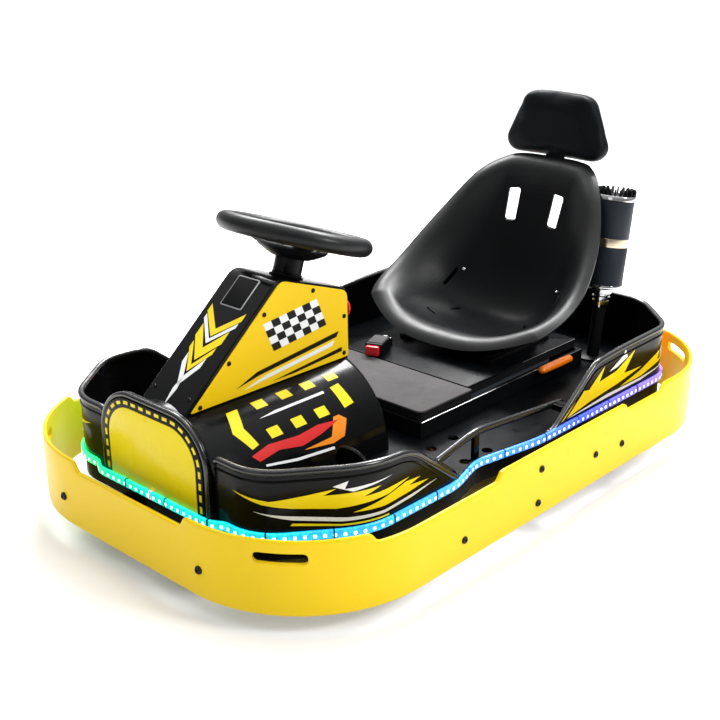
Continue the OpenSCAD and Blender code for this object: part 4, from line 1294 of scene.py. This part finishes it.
# ------------------------------------------------------------------ stack
def stack():
    t = math.radians(8.3)
    ax = V((-math.sin(t), 0, math.cos(t)))
    o = V((-505, 184.5, 292))
    b = Soup()
    b.add(*lathe([(1, 0), (40, 0), (42, 1.6), (42, 92), (41.4, 93)], o, ax, 56), 0)
    b.add(*lathe([(41.4, 111), (42, 112), (42, 194), (40, 196), (1, 196)], o, ax, 56), 0)
    b.add(*lathe([(40, 91), (42.3, 93), (42.5, 94.5), (42.5, 109.5), (42.3, 111), (40, 113)], o, ax, 56), 2)
    b.add(*lathe([(39, -1.5), (42.6, -0.4), (43, 1.2), (43, 6), (42.4, 7.4), (39, 8)], o, ax, 56), 1)
    b.build("stack_tube", [SLEEVE, CHROME, PALE_BRASS], "chassis", "black_satin", ("stack_body",), 38)
    c = Soup()
    c.add(*lathe([(1, 194), (43, 194), (44, 195.2), (44, 203), (43, 204.4), (36, 205), (34, 200), (1, 200)], o, ax, 56), 0)
    x = ax.orthogonal().normalized()
    y = ax.cross(x)
    for i in range(20):
        a = 2 * math.pi * i / 20
        rad, tan = x * math.cos(a) + y * math.sin(a), y * math.cos(a) - x * math.sin(a)
        outline = fillet([(29, 202), (42.5, 202), (43.2, 214), (41, 218.5), (35, 219), (30, 212)], 2.5, 3, True)
        c.add(*prism(outline, lambda u, v, h: tuple(o + rad * u + ax * v + tan * h), -1.7, 1.7, 0.6, 2), 1)
    c.add(*lathe([(1, 200), (22, 200), (22, 202.5), (18, 204.5), (8, 205.5), (1, 206)], o, ax, 40), 1)
    c.build("stack_crown", [CHROME, SATIN], "chassis", "chrome", ("stack_cap",), 38)
    n = Soup()
    n.add(*lathe([(1, -46), (15, -46), (15, -30), (20, -28.5), (20, -22), (17, -20), (17, -16), (23, -14), (23, -5), (20, -3.5), (20, 0.5), (1, 0.5)], o, ax, 44), 0)
    n.add(*lathe([(14.5, -41), (18.4, -40), (18.4, -32), (14.5, -31)], o, ax, 24), 1)
    n.add(*lathe([(1, -163), (14, -163), (14, -45), (1, -45)], o, ax, 32), 2)
    n.add(*lathe([(0.5, 130.0), (34, 130), (34, 134), (30, 136), (0.5, 136)], (-481.4, 184.5, 0), (0, 0, 1), 40), 2)
    n.build("stack_foot", [CHROME, BRASS, PAINT], "chassis", "chrome", ("stack_neck",), 38)


stack()


# ------------------------------------------------------------------ buckle, lever, pedals
def fittings():
    M = Matrix.Translation((-72, -98, 185)) @ Matrix.Rotation(math.radians(22), 4, "Z")
    s = Soup()
    s.add(*moved(rounded_box((-26, -20, 0.5), (30, 20, 27), 5), M), 0)
    s.add(*moved(rounded_box((28, -15, 3), (41, 15, 24), 4), M), 1)
    s.add(*moved(rounded_box((-24, -16, 26), (22, 16, 28.6), 2), M), 2)
    s.add(*moved(rounded_box((-52, -12, 12), (-24, 12, 16), 1.6), M), 3)
    s.add(*moved(rounded_box((-60, -12, 0.2), (-24, 12, 12), 3), M), 0)
    s.add(*moved(lathe([(0.5, 0), (6, 0), (6, 3), (4.5, 4.2), (0.5, 4.2)], (-46, 0, 15.5), (0, 0, 1), 18), M), 3)
    s.build("buckle", [SATIN, RED, MAT_TOP, STEEL], "chassis", "black_satin", ("belt_buckle",), 38)
    g = Soup()
    path = [(-356 + 98 * k / 11, 203, 165.5 + 1.5 * k / 11) for k in range(12)]
    g.add(*tube(path, lambda i: 10.5 - 0.9 * (abs(i - 5.5) / 5.5) ** 2, 24, flat=0.84, up=(0, 0, 1)), 0)
    g.add(*tube([(-290, 188, 159), (-290, 203, 160)], 3.8, 12), 1)
    g.build("lever_grip", [ORANGE, STEEL], "chassis", "orange_plastic", ("seat_lever",), 38)
    p = Soup()
    for sy in (1, -1):
        t = math.radians(18)
        a = V((math.sin(t), 0, math.cos(t)))
        n_ = V((-math.cos(t), 0, math.sin(t)))
        o = V((352, 201 * sy, 130))
        outline = fillet([(0, 3), (86, 3), (86, 62), (66, 92), (20, 92), (0, 62)], [5, 5, 22, 20, 20, 22], 6, True)
        put = lambda u, v, h: tuple(o + V((0, sy, 0)) * u + a * v + n_ * h)
        p.add(*prism(outline, put, 0.5, 8, 1.6, 3))
        for k in range(7):
            z = 16 + 10 * k
            w = 6 if z < 66 else 14
            bar = fillet([(w, z), (86 - w, z), (86 - w, z + 4.6), (w, z + 4.6)], 2, 3, True)
            p.add(*prism(bar, put, 7, 9.4, 0.8, 2))
        y0, y1 = sorted((212 * sy, 276 * sy))
        p.add(*rounded_box((338, y0, 130), (380, y1, 138), 2.5))
        p.add(*tube([(352, y0 + 4, 141), (352, y1 - 4, 141)], 5, 12))
        p.add(*tube([(372, (y0 + y1) / 2, 136), (369, (y0 + y1) / 2, 176)], 5, 12))
    p.build("pedal_pads", SATIN, "chassis", "black_satin", ("pedals",), 38)


fittings()


# ------------------------------------------------------------------ wheels
def wheels():
    for f, x in (("front", 408.386), ("rear", -430.0)):
        for side, sg in (("left", 1), ("right", -1)):
            y = 290 * sg
            body = f"{f}_{side}_wheel"
            t = Soup()
            half = [(36, -19), (38, -21.4), (46, -22), (52, -21.6), (55.5, -20), (58, -17.6), (59.4, -14), (59.8, -9), (60, -4.5)]
            prof = half + [(60, 0)] + [(r, -h) for r, h in reversed(half)]
            seg = 120
            rings = []
            for i in range(seg):
                a = 2 * math.pi * i / seg
                row = []
                for r, h in prof:
                    cutd = 0.0
                    if r > 57 and abs(abs(h) - 9) < 0.5:
                        cutd = 1.9
                    elif r > 57 and abs(h) > 9.5 and (i + (2 if h > 0 else 0)) % 5 == 0:
                        cutd = 1.8
                    elif r > 57 and abs(h) < 0.1 and i % 5 == 2:
                        cutd = 1.2
                    rr = r - cutd
                    row.append((x + rr * math.cos(a), y + h, 60 + rr * math.sin(a)))
                rings.append(row)
            t.add(*loops_to_faces(rings, closed_run=True))
            t.build(f"{f}_{side}_tread", TYRE, body, "tyre", (f"{f}_{side}_tyre",), 30)
            r = Soup()
            bore = 8.4 if f == "front" else 9.5
            out = (0, sg, 0)
            r.add(*lathe([(bore, -20), (17, -20), (18, -19), (18, -6), (21, -5), (29, -5), (30.5, -8), (30.5, -18.6), (33, -20), (36.4, -20), (37.6, -19.4), (37.6, -17.8), (35.9, -17), (35.9, 17),
                          (37.6, 17.8), (37.6, 19.4), (36.4, 20), (33, 20), (30.5, 18.6), (30.5, 8), (29, 5), (21, 5), (18, 6), (18, 19), (17, 20), (bore, 20), (bore, -20)], (x, y, 60), out, 56, cap=False))
            for k in range(5):
                a = 2 * math.pi * k / 5
                r.add(*lathe([(0.4, 4.5), (2.6, 4.5), (2.6, 6.2), (2, 7), (0.4, 7)], (x + 24.5 * math.cos(a), y, 60 + 24.5 * math.sin(a)), out, 12))
            if f == "rear":
                r.add(*tube([(x, 200 * sg, 60), (x, 314 * sg, 60)], 9.8, 24, round_ends=False))
                r.add(*lathe([(0.5, 20), (13, 20), (13, 26), (9, 27.5), (9, 30), (0.5, 30)], (x, y, 60), out, 6))
            r.build(f"{f}_{side}_hub", ALLOY, body, "alloy", (f"{f}_{side}_rim",), 35)


wheels()

for n_, m_, b_ in (("frame_rails", PAINT, 1.5), ("cross_members", PAINT, 1.5), ("bumper_carriers", PAINT, 1.5), ("floor_pan", FLOOR, 0), ("sills", FLOOR, 0.8), ("front_axle_beam", PAINT, 1.5),
                   ("rear_transaxle", PAINT, 1.2), ("motor", ALLOY, 3.0), ("lower_bushing", STEEL, 1.0), ("steering_column", PAINT, 0), ("drop_arm", STEEL, 0.6),
                   ("left_knuckle", STEEL, 0.8), ("right_knuckle", STEEL, 0.8), ("tie_rod", STEEL, 0.6)):
    paint(n_, m_, b_)


# ------------------------------------------------------------------ stripes and blocks
def graphics():
    s = Soup()
    Y, W, R, O, B = 0, 1, 2, 3, 4
    on_wall = lambda u, v, h: tub.place(u, v, h)
    mirror = lambda u, v, h: tub.place(T - u, v, h)
    for put in (on_wall, mirror):
        # front walls: a long blade that folds back on itself, a pale dart and lines below
        decal(s, [(196, 207), (262, 198), (318, 205), (372, 214), (350, 203), (452, 205), (418, 193), (520, 196), (470, 184), (372, 178), (300, 184), (250, 192)], put, Y)
        decal(s, [(366, 218), (392, 226), (386, 212), (476, 216), (400, 206)], put, W)
        decal(s, [(452, 178), (512, 190), (548, 187), (520, 180), (570, 174), (520, 168), (460, 165), (400, 168)], put, Y)
        decal(s, [(236, 178), (300, 170), (390, 160), (460, 157), (530, 161), (592, 166), (530, 156), (460, 152), (380, 154), (300, 163)], put, W)
        decal(s, [(300, 157), (380, 149), (470, 147), (470, 144), (378, 146), (296, 153)], put, Y)
        # rear walls: leaning wedges with a pale line between
        r0 = tub.s_side(-60)
        g = lambda pts: [(r0 + u, z) for u, z in pts]
        decal(s, g([(36, 146), (110, 190), (132, 186), (186, 222), (168, 192), (232, 198), (300, 226), (262, 184), (330, 180), (240, 168), (140, 160)]), put, Y)
        decal(s, g([(250, 158), (330, 172), (404, 196), (396, 176), (440, 178), (330, 158)]), put, Y)
        decal(s, g([(204, 204), (252, 224), (262, 236), (272, 218), (232, 206)]), put, W)
        decal(s, g([(60, 147), (200, 156), (330, 154), (430, 160), (330, 149), (200, 149)]), put, W)
        decal(s, g([(520, 206), (640, 212), (700, 200), (640, 196), (560, 190)]), put, Y)
        decal(s, g([(500, 180), (640, 184), (720, 176), (640, 176)]), put, W)
    # tunnel cover: hazard blocks on both flanks with a red and an orange band
    for sg in (1, -1):
        put = lambda u, v, h: on_hump(u, sg * v, h)
        lay = dict(step=30.0, vstep=7.0)
        for x in (263, 322, 380, 440):
            decal(s, [(x - 13, 81), (x + 14, 81), (x + 11, 98), (x - 16, 98)], put, Y, **lay)
        for x in (330, 388, 446):
            decal(s, [(x - 13, 138), (x + 14, 138), (x + 11, 157), (x - 16, 157)], put, Y, **lay)
        decal(s, [(486, 83), (511, 83), (526, 124), (505, 162), (488, 158), (500, 122)], put, Y, **lay)
        decal(s, [(258, 109), (281, 111), (276, 157), (250, 154)], put, Y, **lay)
        decal(s, [(300, 172), (352, 166), (400, 170), (470, 164), (512, 172), (500, 186), (452, 180), (400, 190), (352, 184)], put, R, **lay)
        decal(s, [(282, 176), (296, 164), (310, 164), (330, 196), (400, 198), (330, 208), (300, 204)], put, O, **lay)
        decal(s, [(330, 214), (420, 206), (490, 194), (490, 198), (420, 211), (330, 219)], put, W, **lay)
        decal(s, [(300, 112), (420, 112), (460, 116), (420, 117), (300, 117)], put, W, **lay)
    # console front: chevrons pointing at the nose
    top = V((588, 288))
    cn = con_n

    def on_front(u, v, h):
        p = top + con_u * u
        return (p.x + cn.x * h, v, p.y + cn.y * h)
    for u0, wid, m in ((50, 20, W), (80, 14, Y), (104, 26, Y), (140, 10, W), (155, 16, Y)):
        reach = 14 + 0.20 * u0
        decal(s, [(u0, 0), (u0 + 44, -reach), (u0 + 44 + wid, -reach), (u0 + wid, 0)], on_front, m)
        decal(s, [(u0, 0), (u0 + wid, 0), (u0 + 44 + wid, reach), (u0 + 44, reach)], on_front, m)
    decal(s, [(10, 0), (44, -5), (70, 0), (44, 5)], on_front, W)
    # side panels: a slanted check and speed lines
    for sg in (1, -1):
        put = lambda u, v, h: (u, sg * (62.2 + h), v)
        for i in range(7):
            for j in range(4):
                x, z = 246 + 19 * i + 6 * j, 354 + 14 * j + 2.2 * (6 - i)
                decal(s, [(x, z), (x + 19, z - 2.2), (x + 25, z + 11.8), (x + 6, z + 14)], put, B if (i + j) % 2 == 0 else W)
        decal(s, [(214, 346), (420, 324), (470, 306), (418, 316), (220, 336)], put, B)
        decal(s, [(226, 330), (400, 312), (452, 299), (398, 305), (232, 321)], put, W)
        decal(s, [(206, 312), (330, 301), (384, 296), (330, 296), (206, 304)], put, B)
    s.build("graphics", [STRIPE_Y, STRIPE_W, STRIPE_R, STRIPE_O, STRIPE_K], "chassis", "yellow_plastic", angle=60)


graphics()
